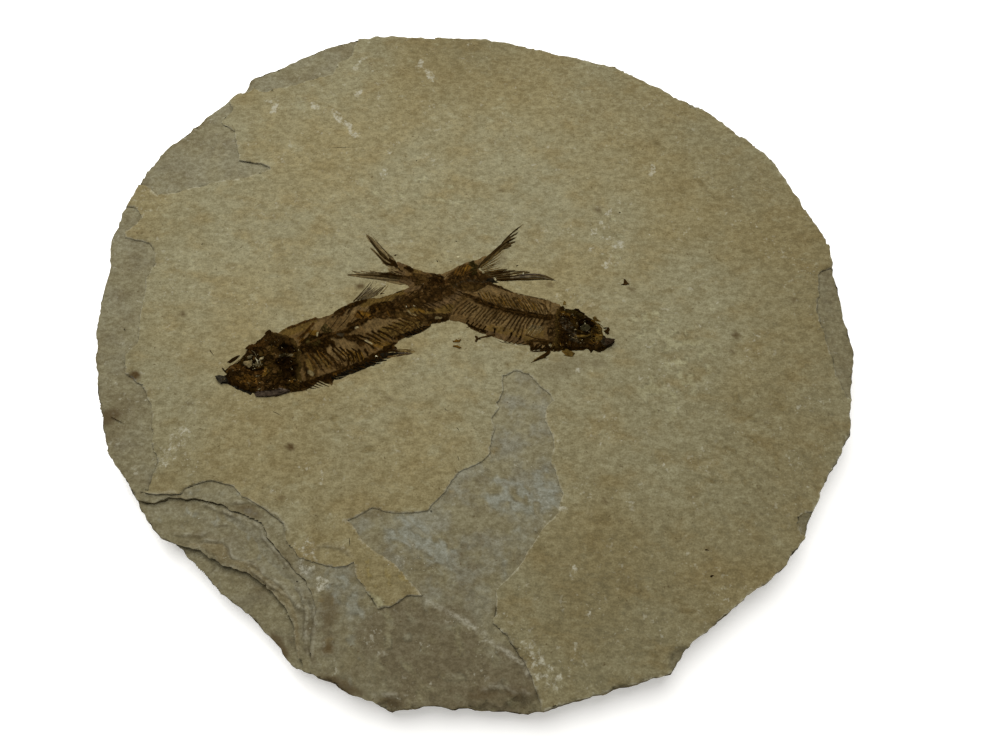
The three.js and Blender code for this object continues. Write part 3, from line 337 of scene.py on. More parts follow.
# Stains of the fins' membranes: tint, lean of the rays, outline
LARGE_WEBS = rows(2,
    ("web_dark", 52, 1.6, 12.2, 1.9, 13, 3.6, 15, 4.9, 16.4, 6, 18, 7.4, 19.6, 8.2, 20.9, 9.2, 22,
     10.4, 23.4, 11.6, 24.6, 12.9, 25.5, 12.2, 24.4, 10.8, 23, 9.6, 21.9, 10.8, 22.5, 12, 23.3, 11.2, 22.2,
     9.8, 21.2, 11.4, 21.8, 10.6, 20.8, 9.4, 20, 10.6, 20.4, 11.4, 20.2, 9.8, 19.2, 10.2, 18.8, 9, 18.2,
     7.8, 17.6, 6.6, 16.4, 5.2, 15.2, 3.6, 13.6, 2.6, 12.4),
    ("web_dark", 3, 2.6, 11, 4.4, 11.6, 6.4, 12, 8.8, 12.4, 9.2, 12, 7.4, 11.5, 9.6, 11.9, 10.8, 12.1,
     11.4, 11.7, 9.6, 11.2, 12.4, 11.7, 14.4, 11.5, 14.7, 11.1, 13, 10.7, 15.4, 10.6, 17.4, 10.8,
     18.6, 10.4, 19.8, 9.7, 20.9, 8.8, 18.8, 9, 16.6, 9.1, 14, 8.9, 11, 8.8, 9, 8.6, 7, 8.6, 6, 9.3,
     4.6, 9.6, 3.2, 10.2),
    ("web_grey", 46, -27.8, 3.2, -27, 4.6, -25.6, 6.2, -24.2, 8, -23.9, 9, -23.6, 8.8, -24, 7.6, -25, 6,
     -23.6, 7.6, -22.9, 9, -22.7, 8.8, -23.6, 7.2, -24.8, 5.6, -23, 7.5, -22.8, 7.2, -24.2, 5.4, -22.2, 6.9,
     -21.9, 6.6, -23.6, 5, -21.6, 6.8, -20.8, 7.6, -20.6, 7.3, -22, 5.8, -23.2, 4.4, -24.4, 3.8, -26, 3.6),
    ("web_ochre", -2, -19.4, -11.9, -17, -11.7, -14.8, -11.4, -13.4, -11, -12.4, -10.5, -14, -10.2,
     -15.6, -9.9, -17.2, -9.6, -19.2, -9.7, -20.8, -10.6))
SMALL_WEBS = rows(2,
    ("web_brown", 128, -17.4, 12.6, -18.4, 14.4, -19.4, 15.8, -21.6, 18, -23.4, 20, -25, 21.6, -26.5, 22.7,
     -26.4, 21.8, -25.7, 20.4, -24, 18.7, -22.6, 17, -21.4, 15.4, -22.6, 16.5, -24, 17.8, -25.2, 18.8,
     -25.1, 18, -23.6, 16.3, -22.4, 14.9, -21.8, 13.8, -20.4, 12.8, -18.8, 12.2),
    ("web_brown", 178, -15.6, 7.8, -15.8, 10.6, -17.4, 12, -19, 12.8, -20.5, 12.4, -20.1, 11.5, -21.6, 11.1,
     -23.2, 11.4, -24.9, 12, -24.8, 11.4, -23, 11, -25.6, 11.4, -27.2, 11.9, -26.9, 11.3, -25, 10.9,
     -27.2, 11, -28.6, 11.7, -29.5, 12, -29.2, 11.5, -28, 10.9, -30.3, 10.8, -30.2, 10.3, -28, 9.9,
     -26, 9.5, -23.4, 9.2, -20.6, 8.6, -19.2, 8.1, -17, 7.6),
    ("film_ochre", 200, 18.6, -10.3, 17.8, -10.7, 16.6, -11.4, 15.2, -12.4, 14.2, -13.5, 15.4, -13.2,
     16.6, -12.5, 18.2, -12.2, 17.4, -11.8, 18.6, -11, 19.4, -10.5))

# Rows of like bones: count, half width, height, tint, and paths that the row changes between evenly
LARGE_RIBS = rows(4,
    (6, 0.17, 0.18, "bone_dark", (-38.4, -10.4, -36.4, -12.7, -34.4, -15.6), (-34, -10, -31.6, -12.4,
     -29.6, -15.4)),
    (4, 0.14, 0.14, "rust", (-38, -11, -36.2, -13.4, -34.6, -15.6), (-35, -10.4, -32.8, -12.8, -31, -15)),
    (5, 0.16, 0.2, "bone_dark", (-32.2, -9.8, -30.2, -11.8, -28.6, -14.6), (-28, -9.6, -26, -11,
     -24.6, -13.6)),
    (5, 0.3, 0.26, "bone_dark", (-28.6, -11.6, -28.2, -13, -28.1, -14.8), (-24.8, -9.8, -24.1, -11.4,
     -23.6, -13.2)),
    (4, 0.2, 0.2, "ochre", (-28, -11.8, -27.7, -13, -27.6, -14.2), (-25.2, -10.6, -24.6, -11.8,
     -24.3, -13)),
    (5, 0.2, 0.2, "bone_dark", (-27.6, -6.6, -24.6, -7.7, -21.8, -9.8), (-21.6, -5, -19.2, -6, -17, -8)),
    (4, 0.12, 0.14, "ochre", (-26.6, -7, -23.8, -8.3, -21, -10), (-21.4, -5.6, -19.4, -6.8, -17.6, -8.6)),
    (8, 0.16, 0.16, "umber", (-20.8, -4, -18, -4.9, -15, -6.5), (-12.4, 0.6, -10.6, -1, -9, -3)),
    (5, 0.14, 0.14, "rust", (-19.6, -3.8, -17, -4.7, -14, -6), (-14.4, 0, -12.4, -1.4, -10.6, -3)),
    (4, 0.13, 0.14, "umber", (-14.4, 2.4, -12.4, 1.6, -10.4, 0.2), (-10.6, 3, -8.6, 2, -6.6, 0.6)),
    (7, 0.11, 0.12, "umber", (-8.6, 3.4, -6, 1.9, -4.4, -0.6), (-2.6, 6, -1.2, 5, 0.6, 4.4)),
    (16, 0.1, 0.12, "skin_dark", (-38.2, -7, -37.4, -5, -36.2, -2.4), (-26, -2, -24.4, 0.8, -22.6, 3.6),
     (-15, 4.4, -13.4, 6, -12, 7.8), (-5.6, 8.8, -4.4, 10.2, -3, 12.2)))
SMALL_RIBS = rows(4,
    (4, 0.15, 0.2, "umber", (17.8, -2, 17.1, -3.2, 16.2, -4.8), (14.8, -1.5, 13.8, -3.4, 12.9, -5.4)),
    (5, 0.16, 0.24, "umber", (14.2, -1.4, 12.7, -4, 11.8, -7.6), (10.6, -0.6, 9.2, -3, 7.8, -5.2)),
    (9, 0.15, 0.18, "brown", (9.6, -0.3, 8, -2.3, 6.7, -4.2), (3, 1, 1.5, -0.8, 0.2, -2.8)),
    (5, 0.14, 0.16, "brown", (2.2, 1.5, 0.2, -0.3, -1, -2.2), (-0.8, 3, -2.9, 1.2, -4.4, -0.9)),
    (1, 0.24, 0.3, "black", (10, -5.6, 9.7, -6.5, 9.2, -7.4)),
    (1, 0.22, 0.28, "black", (6, -4.6, 6, -5.1, 5.9, -5.7)),
    (1, 0.2, 0.28, "black", (12.2, -6.6, 11.9, -7.2, 11.9, -7.9)),
    (1, 0.22, 0.24, "umber", (19.4, -7.9, 16, -7.6, 12, -7.9)),
    (1, 0.16, 0.2, "umber", (17.8, -7.6, 15.4, -6.9, 13, -5.9)),
    (9, 0.06, 0.12, "cream_dull", (17.6, -4, 16.6, -5.4, 15.4, -6.9), (14.8, -3.4, 13.6, -5, 12.6, -6.6)),
    (20, 0.09, 0.12, "brown", (18.8, -0.8, 18.2, 1.4, 16.4, 3.4), (12.8, 0, 11.6, 2.4, 10.2, 5), (3.4, 2.6,
     2.4, 4, 1.2, 6.6)),
    (18, 0.09, 0.12, "amber", (17.6, 0.2, 16.8, 1.8, 15, 3.6), (10.6, 1.2, 9.4, 3.4, 8.2, 5.6), (4, 3,
     3, 4.4, 2.2, 6.4)),
    (10, 0.08, 0.1, "brown", (14, 0.4, 13, 2.4, 12, 4.6), (6.6, 2, 5.6, 3.8, 4.8, 6)))
# Single rays, spines and stray bones: half width, tint, path
LARGE_RAYS = rows(2,
    (0.44, "ray_dark", 1.6, 12.6, 4.4, 15.8, 6.2, 18, 8.6, 20.8),
    (0.3, "umber", 3, 14.4, 5.6, 16.9, 7.6, 19, 10, 21),
    (0.21, "ray_dark", 7.6, 19.8, 9.4, 22, 11, 23.7, 12.9, 25.4),
    (0.12, "ray_dark", 8.6, 20.6, 10.2, 22, 11.2, 22.8, 12, 23.3),
    (0.21, "bone_dark", 8, 19.4, 9.4, 20.4, 10.4, 21, 11.4, 21.7),
    (0.11, "ray_dark", 8.6, 19.2, 10, 20, 11.2, 20.4), (0.11, "ray_dark", 8, 18.6, 9.2, 19, 10.4, 19.1),
    (0.1, "ray_dark", 7.8, 18, 8.8, 18.2, 9.7, 18.1),
    (0.16, "ray_ochre", 2.6, 13, 4.8, 15, 6.6, 17, 8, 18.6),
    (0.14, "ray_ochre", 2.4, 12.6, 4.8, 14.5, 6.6, 16, 7.9, 17.4),
    (0.16, "ray_ochre", 2.4, 12.3, 4.6, 13.8, 6.4, 15, 7.6, 16.2),
    (0.12, "ray_ochre", 2.5, 12.1, 4.6, 13.2, 6.2, 14, 7.4, 15),
    (0.11, "ray_dark", 2.6, 11.9, 4.4, 12.7, 5.8, 13.4, 7, 14),
    (0.15, "ray_ochre", 2.8, 11.7, 4.2, 12.2, 5.4, 12.8, 6.6, 13.1),
    (0.13, "ray_ochre", 3, 11.9, 4.6, 12.8, 5.8, 13.7, 7, 14.6),
    (0.13, "ochre", 3.2, 11.5, 4.8, 12, 6.2, 12.3, 7.6, 12.9),
    (0.12, "ochre", 3.4, 11.2, 5, 11.5, 6.4, 11.8, 7.8, 12.3),
    (0.12, "bone_dark", 3, 11.3, 5, 11.6, 6.8, 12, 8.6, 12.2),
    (0.15, "bone_dark", 3.4, 10.8, 6, 11.3, 8.4, 11.7, 10, 11.9),
    (0.25, "bone_dark", 3.8, 10.4, 7, 11, 10, 11.5, 13.9, 11.6),
    (0.16, "bone_dark", 5, 10, 7.6, 10.4, 10, 10.7, 12.4, 10.9),
    (0.12, "cream_dull", 6, 10.1, 7.4, 10.4, 9, 10.7, 10.4, 10.9),
    (0.12, "cream_dull", 9.6, 10.3, 11, 10.5, 12.4, 10.8, 13.4, 10.9),
    (0.24, "bone_dark", 6.4, 9.7, 9, 10, 12, 10.2, 15.4, 10.5),
    (0.34, "web_grey", 9.6, 9.6, 13, 9.9, 16.4, 9.9, 20.8, 8.9),
    (0.3, "purple_grey", 11.8, 10.2, 14, 10.6, 16.6, 10.6, 18.4, 10),
    (0.38, "bone_dark", 6.2, 9, 9, 9.1, 12, 9.2, 15, 9.3),
    (0.19, "ray_dark", 12, 9.1, 15, 9.2, 18, 9.3, 19.6, 9.2),
    (0.56, "blue_black", 4.8, 8.9, 5.6, 8.6, 6.8, 8.3), (0.14, "slate", 2.6, 8.2, 4, 8.4, 5.6, 8.9),
    (0.2, "cream", -22, -11.7, -21.7, -11.8, -21.4, -11.9),
    (0.1, "cream", -15.4, 1.7, -15.3, 1.4, -15.3, 1.1), (0.1, "cream", -13.7, 1.8, -13.4, 1.6, -13.2, 1.5),
    (0.08, "cream", -11.7, 7.9, -11.5, 7.8, -11.3, 7.7),
    (0.08, "cream_dull", -7.5, 6.7, -7.2, 6.5, -7, 6.4),
    (0.6, "blue_black", -20.8, -11.4, -19.4, -11.3, -17.4, -11.1, -16.2, -11),
    (0.38, "bone_dark", -19.4, -10.2, -17.6, -10.3, -16, -10.6),
    (0.15, "ray_ochre", -17, -10.6, -15.4, -10.4, -14.2, -10.5, -12.8, -10.3),
    (0.12, "ray_ochre", -16.6, -10.2, -15.2, -9.9, -14, -10, -13.2, -9.9),
    (0.12, "ray_ochre", -16.6, -11.4, -15, -11.2, -13.8, -11))
LARGE_FINS = rows(4,
    (2, 0.17, 0.2, "ray_dark", (-28.2, 3, -26.4, 5.6, -23.9, 9), (-27.2, 3.4, -25.4, 5.6, -22.8, 9)),
    (5, 0.13, 0.16, "ray_brown", (-27, 3.4, -25, 5.4, -22.9, 7.5), (-24.4, 4, -22.6, 5.8, -20.7, 7.5)),
    (3, 0.12, 0.14, "ray_ochre", (-23.4, 4.4, -22, 6.2, -20.9, 8), (-22, 5, -21, 6.4, -20.2, 7.6)))
SMALL_RAYS = rows(2,
    (0.4, "ray_dark", -20.2, 14.6, -22.2, 16.6, -24.6, 19.6, -26.4, 22.4),
    (0.1, "cream_dull", -20.6, 16, -22, 17.8, -23.8, 20, -25.2, 21.9),
    (0.12, "ray_dark", -19.8, 15.4, -21.4, 17.4, -23.2, 19.7, -25.2, 22.5),
    (0.22, "bone_dark", -20, 14.2, -21.6, 15.6, -23.2, 17.4, -24.4, 19.2),
    (0.25, "ray_dark", -20.2, 13.6, -21.8, 14.7, -23.4, 16.6, -25.1, 18.6),
    (0.75, "bone_dark", -18.2, 12.8, -19, 13.8, -19.8, 14.6, -20.3, 15.6),
    (0.38, "bone_dark", -18.6, 13.2, -19.8, 13.4, -21.2, 13.9, -22, 14.6),
    (0.2, "ray_dark", -16.2, 10.8, -17.4, 12, -18.6, 13.4),
    (0.15, "ray_dark", -16.6, 10.6, -18.2, 11.3, -20.2, 12.6),
    (0.15, "bone_dark", -16.6, 10.2, -18.4, 10.8, -20.4, 12),
    (0.12, "ray_dark", -17, 11.4, -18, 12.4, -19, 13),
    (0.55, "ray_dark", -17, 9.4, -20.4, 10, -24.6, 10.4, -30.1, 10.6),
    (0.38, "bone_dark", -16.6, 9.8, -19.6, 10.6, -22.4, 10.4, -25.4, 10.3),
    (0.15, "ray_dark", -20, 10.8, -23, 11, -26.4, 11, -29.4, 11.9),
    (0.15, "ray_dark", -19.6, 11, -22, 11, -24.4, 11.2, -27.1, 11.7),
    (0.12, "ray_dark", -19, 11.2, -21, 11.1, -22.8, 11.3, -24.8, 11.8),
    (0.28, "ray_brown", -17.4, 8.9, -20.6, 9.2, -24, 9.5, -28, 10),
    (0.53, "bone_dark", 18.9, -10.4, 17.8, -11.4, 16.4, -12.3, 14.4, -13.4),
    (0.18, "bone_dark", 17, -12, 17.6, -12.1, 18.2, -12.2),
    (0.25, "bone_dark", 18, -10.2, 16, -10.4, 14, -10.6),
    (0.34, "umber", 6, -6.1, 4.4, -6.4, 3, -6.7, 1.6, -7.1),
    (0.12, "ray_brown", 18, 3.7, 15, 4.3, 12.4, 5, 10.4, 5.7),
    (0.18, "ray_dark", 9.6, 5.9, 8, 6.6, 6.4, 7.5), (0.21, "black", 31.7, -4.3, 32.3, -4.2, 33.1, -4.1),
    (0.25, "black", 32.9, -4.3, 32.7, -5, 32.3, -5.7), (0.2, "black", 31.8, -4.9, 32.2, -5.4, 32.2, -6))
LARGE_SCUTES = rows(4,
    (9, 0.22, 0.3, "bone_dark", (-41.6, -20, -40.4, -20.7, -38.8, -20.9), (-34.4, -17.6, -33, -18.5,
     -31.3, -19.2)),
    (17, 0.2, 0.3, "blue_black", (-31.8, -17.2, -30.4, -17.5, -28.8, -17), (-20.6, -11.9, -19.2, -12.3,
     -17.8, -12.1)),
    (8, 0.15, 0.26, "blue_black", (-16, -6, -14.8, -6.6, -13.2, -6.4), (-11.2, -3.6, -10.2, -4.1,
     -9, -3.6)))
SMALL_SCUTES = rows(4,
    (5, 0.22, 0.28, "bone_dark", (-0.2, -2.2, -0.8, -2.9, -1, -3.4), (3.8, -3.8, 3.2, -4.6, 2.8, -5.4)),
    (6, 0.12, 0.18, "bone_dark", (0.4, -3.6, -0.2, -4, -0.8, -4.1), (4.4, -5.2, 3.6, -5.6, 2.8, -5.6)),
    (5, 0.13, 0.2, "umber", (14, -8.2, 12.8, -8.8, 11.2, -8.9), (9, -7.4, 8, -8, 6.8, -7.6)),
    (5, 0.2, 0.26, "bone_dark", (20, -9.4, 19, -10.2, 17.6, -10.6), (16, -8.8, 15, -9.8, 14.1, -10.6)))
# Bits on the bare stone: half width, tint, path
STRAYS = rows(2,
    (0.2, "bone_dark", -21.9, 5.1, -21.4, 5.3, -20.7, 5.2),
    (0.2, "bone_dark", 11.1, 13, 11.4, 13.2, 11.7, 13.1),
    (0.14, "bone_dark", -8.5, 14.7, -8.3, 14.4, -8.2, 14.1),
    (0.2, "bone_dark", -19, 16.1, -18.7, 16.3, -18.3, 16.4),
    (0.12, "bone_dark", -4, 20.4, -3.8, 20.3, -3.5, 20.3),
    (0.12, "bone_dark", -5.2, 14.4, -5, 14.3, -4.7, 14.3),
    (0.1, "bone_dark", -61, -10, -60.4, -10.8, -59.7, -11.7),
    (0.12, "bone_dark", -67.2, 19.4, -67, 19.6, -66.8, 19.6),
    (0.13, "bone_dark", -14.9, 45.3, -14.8, 45.5, -14.6, 45.8),
    (0.14, "bone_dark", 37.3, 29, 37.5, 29, 37.8, 29),
    (0.15, "bone_dark", -35.2, -64.1, -35, -64.2, -34.7, -64.2),
    (0.15, "bone_dark", -82.2, -4.5, -82, -4.5, -81.8, -4.5),
    (0.15, "bone_dark", -7.8, -49, -7.6, -49, -7.4, -49),
    (0.2, "bone_dark", 50.6, -57.5, 51, -57.5, 51.5, -57.6),
    (0.26, "bone_dark", 51.2, -63.2, 51.6, -63, 52, -62.9),
    (0.08, "bone_dark", -5.4, -25, -5, -25.3, -4.6, -25.8),
    (0.07, "bone_dark", -2.6, -29.6, -2.2, -30, -1.9, -30.6),
    (0.07, "bone_dark", -2.2, -36.4, -2, -37, -1.9, -37.5),
    (0.07, "bone_dark", -24.8, -55, -24.7, -56, -24.6, -57),
    (0.08, "bone_dark", -42.6, -54.8, -42.3, -55, -42, -55.3),
    (0.07, "bone_dark", -44.4, -25.7, -43.4, -26.2, -42.2, -26.9),
    (0.06, "ray_dark", -38, 49.6, -34, 49.9, -30, 50),
    (0.07, "ray_dark", -61, 45.4, -57.6, 44.8, -55.3, 44.3),
    (0.07, "ray_dark", -55.3, 44.3, -54, 43.6, -52.6, 43.3),
    (0.09, "ray_dark", -81, -27, -79, -28, -77.5, -28.8),
    (0.16, "cream", -3.5, 15.7, -3.2, 15.7, -2.9, 15.8), (0.14, "cream", 12.8, 10.5, 12.8, 10.9, 13, 11.1),
    (0.1, "cream", 5.5, 9.8, 5.9, 9.5, 6.4, 9))
# Flat chips on the bare stone: tint and outline
FLECKS = rows(1,
    ("umber", 36.5, 7.7, 37.3, 8.2, 37.3, 9.3, 37.8, 9.2, 38.2, 8.3, 38.6, 7.9, 37.8, 7.6),
    ("ochre", -3.9, -8, -4, -7.5, -3.5, -7.6, -3.1, -7.2, -2.7, -7.5, -2, -7.2, -2.3, -8),
    ("ochre", -3.9, -9.2, -3.8, -8.9, -2.8, -8.9, -1.9, -9.5, -2.4, -9.7, -3, -9.4),
    ("umber", 1.1, -6.4, 1.7, -6.3, 2, -6.8, 2.6, -6.7, 2.6, -7.2, 2, -7.3, 1.6, -8, 1.2, -7.8, 1.5, -7.1))

# Brush strokes on a fish: tint, radius, strength, and the line or point that the brush is drawn along
LARGE_STROKES = rows(3,
    ("skin_ochre", 1.4, 0.8, -43.5, -5, -39.5, -3.6, -37.5, -3.2),
    ("skin_pale", 1.3, 0.8, -37, -3.9, -34.4, -3.2), ("skin", 2, 0.8, -33, -3, -29.5, -1.5),
    ("skin_pale", 1.2, 0.8, -29.5, 0.2, -27, 1.3), ("skin_pale", 1, 0.8, -25.5, 1.1, -24, 1.2),
    ("skin_ochre", 1.2, 0.8, -26, 2.6, -23, 3), ("skin_ochre", 0.9, 0.8, -22, 3.2, -18.4, 4.6, -14, 6.8),
    ("mauve", 0.8, 0.8, -15.5, 6.2, -12.2, 7.2), ("mauve", 0.5, 0.9, -12.6, 5.6, -11.8, 6.6),
    ("skin_pale", 1.3, 0.95, -6.2, 10.2, -4.9, 11.1), ("skin_pale", 1.4, 0.9, 1.6, 14.6, 3.4, 15.8),
    ("mauve", 1, 0.8, -9.6, 2.6, -7.4, 2.4, -5, 3),
    ("skin_ochre", 1.3, 0.8, -14, 0.6, -11, -0.6, -8, -0.4, -5, 1),
    ("skin_dark", 0.5, 0.7, -14.6, 1.6, -11, 1.4, -9, 0.4),
    ("skin_dark", 0.5, 0.7, -18.6, -0.6, -15, -0.4, -12.6, -1.6),
    ("skin_dark", 0.4, 0.7, -16, -3.4, -13.6, -4.6), ("mauve", 0.9, 0.8, -4.4, 3.6, -2.8, 5.6),
    ("skin_pale", 2, 0.9, -23.4, -3.8, -20.5, -3.4, -17.6, -2.8),
    ("skin_pale", 1.9, 1, -32.4, -9, -30.4, -11), ("skin_pale", 1.2, 0.85, -31.6, -7.4, -28.2, -9),
    ("skin_ochre", 1, 0.7, -35.2, -11.6, -32.6, -14),
    ("umber", 0.22, 0.7, -36.6, -11.4, -35, -13.2, -33.6, -15.8),
    ("brown", 0.3, 0.7, -35, -11, -33, -13, -31.8, -15),
    ("brown", 1.6, 0.7, -38.4, -11.6, -37.2, -14, -36.4, -17),
    ("skin_ochre", 0.5, 0.8, -37.8, -13, -36.6, -15.4),
    ("umber", 0.3, 0.8, -38.4, -13.4, -37.6, -15.6, -37.4, -18),
    ("skin_ochre", 1.7, 0.85, -20, -5.4, -14, -3.4, -11, -1),
    ("brown", 1.3, 0.58, -19, -5.6, -15, -4.4, -11, -2), ("ochre", 1.3, 0.6, -29, -11, -25.6, -12.4),
    ("ochre", 1.2, 0.6, -22.6, -8, -19.2, -9), ("bone_dark", 1.8, 0.95, -38, -7.6, -36, -8.2, -34.4, -8.2),
    ("bone_dark", 0.7, 0.9, -35, -9, -34.2, -10.4), ("ochre", 0.7, 0.8, -37.6, -5.4, -36.6, -5.6),
    ("olive_dark", 0.9, 0.7, -34.4, -4.2, -33.4, -5.6), ("olive_dark", 1, 0.6, -37.8, -8, -36, -8.2),
    ("bone_dark", 1, 0.9, -39.4, -10, -36, -10, -34.2, -10.4),
    ("bone_dark", 0.8, 0.95, -35.5, -6.6, -32.4, -6.2, -30.6, -6.4, -28.4, -4.8),
    ("slate", 0.35, 0.7, -32.4, -5.8, -29.8, -6.2), ("bone_dark", 0.6, 0.9, -32.4, -8, -31.9, -9.2),
    ("bone_dark", 1.1, 0.9, -28.4, -3.8, -26, -2.6, -24, -1),
    ("rust", 1.1, 0.75, -26.6, -0.6, -24.4, -0.8, -23, -0.4),
    ("amber", 0.4, 0.6, -26, -0.4, -24.6, -0.6, -23.4, -0.2),
    ("bone_dark", 0.3, 0.8, -26.8, 0, -25.6, -1.4),
    ("bone_dark", 2, 0.85, -22.4, 0.6, -19.6, 1.2, -17.6, 0.6),
    ("umber", 1.2, 0.75, -21.6, -0.8, -17.6, -0.6), ("umber", 1.8, 0.7, -17, 2.8, -14, 4.2, -11.6, 4.8),
    ("umber", 1.7, 0.85, -15.4, 2.4, -12, 3.6, -8, 4.4), ("brown", 0.5, 0.6, -16.8, 4.2, -15.6, 2),
    ("brown", 0.5, 0.6, -13.6, 5, -12.8, 3), ("rust", 0.25, 0.6, -22.6, 1.4, -21.8, 0),
    ("rust", 0.25, 0.6, -20, 0.4, -19.2, -1.2), ("brown", 1, 0.8, -17, -0.6, -13.6, -1.2, -10.4, -1.6),
    ("umber", 1.8, 0.85, -10.4, 7.2, -7, 6.8, -5.4, 6), ("red_brown", 0.9, 0.7, -8.8, 8.6, -6, 8.4),
    ("bone_dark", 1.2, 0.85, -9.4, 9.6, -7.8, 9.2), ("brown", 2.2, 0.85, -3.4, 8.4, 0, 8.6, 3.4, 8.6),
    ("umber", 1.4, 0.55, -6, 6.4, -2.4, 8.4, 1, 10.2),
    ("umber", 1.8, 0.9, -1, 12, -4, 9.6, 1.6, 9.6, 4.6, 9), ("slate", 0.5, 0.5, -4, 7, -0.4, 8.8, 4, 8),
    ("olive_dark", 0.9, 0.95, 0.2, 14, 0.9, 12.6, 0.4, 11), ("umber", 1, 0.7, -3.6, 9.6, -0.6, 10.4),
    ("umber", 1.1, 0.8, -2, 6.9, 3, 7), ("brown", 0.9, 0.8, -1.6, 6.8, 2, 6.6),
    ("rust", 1.2, 0.75, -3, 11, -1.2, 12.4), ("amber", 0.5, 0.7, -1.6, 12, -0.8, 12.8),
    ("umber", 0.16, 0.8, -3.7, 10.2, -2.7, 12.8), ("umber", 0.16, 0.8, -3, 10.2, -2, 13),
    ("umber", 0.16, 0.8, -2.4, 10.2, -1.3, 13.2), ("umber", 0.16, 0.8, -1.6, 10.4, -0.7, 12.9),
    ("skin_dark", 1, 0.8, -9.6, -1.4, -4.6, -1.2), ("bone_dark", 0.6, 0.9, -9.4, -2.6, -5, -2.2),
    ("tan_shard", 0.3, 0.9, -8.2, -1.5, -7, -1.5), ("umber", 0.8, 0.9, -29, -6.6, -27, -7.2, -25.4, -8.4),
    ("bone_dark", 0.25, 0.95, -27.4, -6.2, -24, -7, -21, -8.6),
    ("bone_dark", 0.3, 0.95, -31.8, -10.4, -30.4, -11.6, -29, -13),
    ("umber", 1.1, 0.7, -31.4, -13.4, -29, -15.4), ("amber", 0.35, 0.9, -31.2, -16, -30.4, -17),
    ("bone_dark", 1.1, 0.95, -41, -20, -37, -19, -34, -17.8),
    ("bone_dark", 1.3, 0.95, -33, -17.6, -28.6, -15.8, -25, -14.2, -22.4, -12.4, -20, -11.2),
    ("rust", 0.4, 0.9, -31.1, -16.2, -30.8, -17), ("bone_dark", 0.9, 0.9, -19.6, -10, -17.6, -9),
    ("purple_grey", 0.9, 0.8, -17.2, -10.8, -14.6, -10.9),
    ("bone_dark", 0.7, 0.85, -17, -6.8, -12, -5, -9.6, -3.6),
    ("rust_dark", 0.4, 0.95, -43, -4.2, -40, -2.8, -37, -1.6),
    ("bone_dark", 0.8, 0.95, -32, 0.2, -29.8, 1.4, -27.4, 2.6, -25.6, 3.5),
    ("red_brown", 0.6, 0.85, -30.2, 0.8, -31, -0.6), ("bone_dark", 0.28, 0.8, -25, 4, -22, 4.2, -17, 6),
    ("rust_dark", 0.4, 0.95, -37.2, -3, -38.6, -5, -40.4, -7),
    ("rust", 0.22, 0.9, -37.8, -4.8, -39, -6.4, -40, -8),
    ("skin_pale", 0.25, 0.9, -38.2, -5.8, -39.4, -7.2), ("skin_dark", 0.25, 0.8, -31, 0.2, -32, -1.6),
    ("skin_dark", 0.2, 0.7, -33, -1.4, -31.8, -0.4), ("skin_dark", 0.3, 0.8, -28.4, 1.2, -29.4, -0.4),
    ("bone_dark", 0.3, 0.9, -21.8, -5.2, -20.2, -5.8), ("cream_dull", 0.26, 0.8, -36, -5.6, -36.1, -6.3),
    ("cream_dull", 0.2, 1, -27.1, -4.3, -26.5, -4.2), ("cream_dull", 0.3, 1, -24.4, -7.6, -23, -8.6),
    ("rust", 0.3, 0.9, -22.8, -8.8, -22, -10), ("tan_shard", 0.22, 1, -14.8, 0.3, -14.2, -0.4, -13, -0.8),
    ("ochre", 0.4, 0.8, -12.2, 1, -11.2, 0), ("ochre", 0.3, 0.9, -13.2, 0.6, -12, 0.2),
    ("tan_shard", 0.5, 0.8, -37, -15.8, -36.2, -16.4), ("rust", 0.25, 0.8, -39.3, -7, -40, -8.2),
    ("blue_black", 0.8, 0.9, 4.6, 9, 6.4, 8.5))
LARGE_HEAD_STROKES = rows(3,
    ("umber", 1.9, 0.8, -47.6, -7.4, -51, -10.6), ("rust_dark", 0.8, 0.6, -47.4, -7.6, -49.6, -9.6),
    ("red_brown", 0.8, 0.95, -51.8, -10, -50.6, -9.6),
    ("brown", 1.5, 0.55, -46.6, -7.4, -46.2, -12, -45.4, -17),
    ("umber", 1, 0.6, -44.8, -7.4, -45, -13, -45, -18),
    ("rust_dark", 1.3, 0.8, -55, -14.9, -52.4, -15.6, -50.2, -16.4, -48, -16),
    ("umber", 1.6, 0.8, -54.4, -17, -50.6, -18, -47.4, -18.4),
    ("rust", 0.7, 0.7, -51.8, -17.2, -49.4, -17.9),
    ("ochre", 0.4, 0.8, -47.2, -14.8, -46.6, -15.8, -47.4, -17),
    ("rust", 0.8, 0.55, -53.6, -17.6, -51, -18.6, -48.4, -19),
    ("bone_dark", 0.9, 0.9, -56, -17.4, -53.4, -19, -51, -20.6),
    ("umber", 1.2, 0.7, -44, -7.4, -41.6, -8.2), ("black", 1.2, 1, -43.4, -9.9, -41.4, -10),
    ("black", 1.9, 1, -43.2, -13.4, -41.8, -14.6, -40.6, -15.4),
    ("greenish", 0.45, 0.5, -44, -11.6, -41.6, -11.6), ("bone_dark", 1.2, 0.9, -42, -17, -44, -19),
    ("umber", 0.9, 0.7, -48, -20, -43, -20), ("rust", 0.6, 0.5, -41.4, -18, -38.6, -18.8),
    ("black", 1.2, 0.8, *LARGE_EYE), ("black", 0.45, 1, -51.4, -14.9, -49.6, -15.4, -47.8, -15.1),
    ("umber", 0.7, 0.6, -47.4, -11, -47.2, -13.6),
    ("purple_grey", 0.7, 0.9, -49, -21.7, -45.6, -21.4, -41.6, -20.7),
    ("blue_grey", 0.9, 0.9, -58, -17.5, -56.2, -18.4),
    ("blue_grey", 0.45, 0.9, -55.6, -19.2, -52.6, -20.6, -50, -21.5))
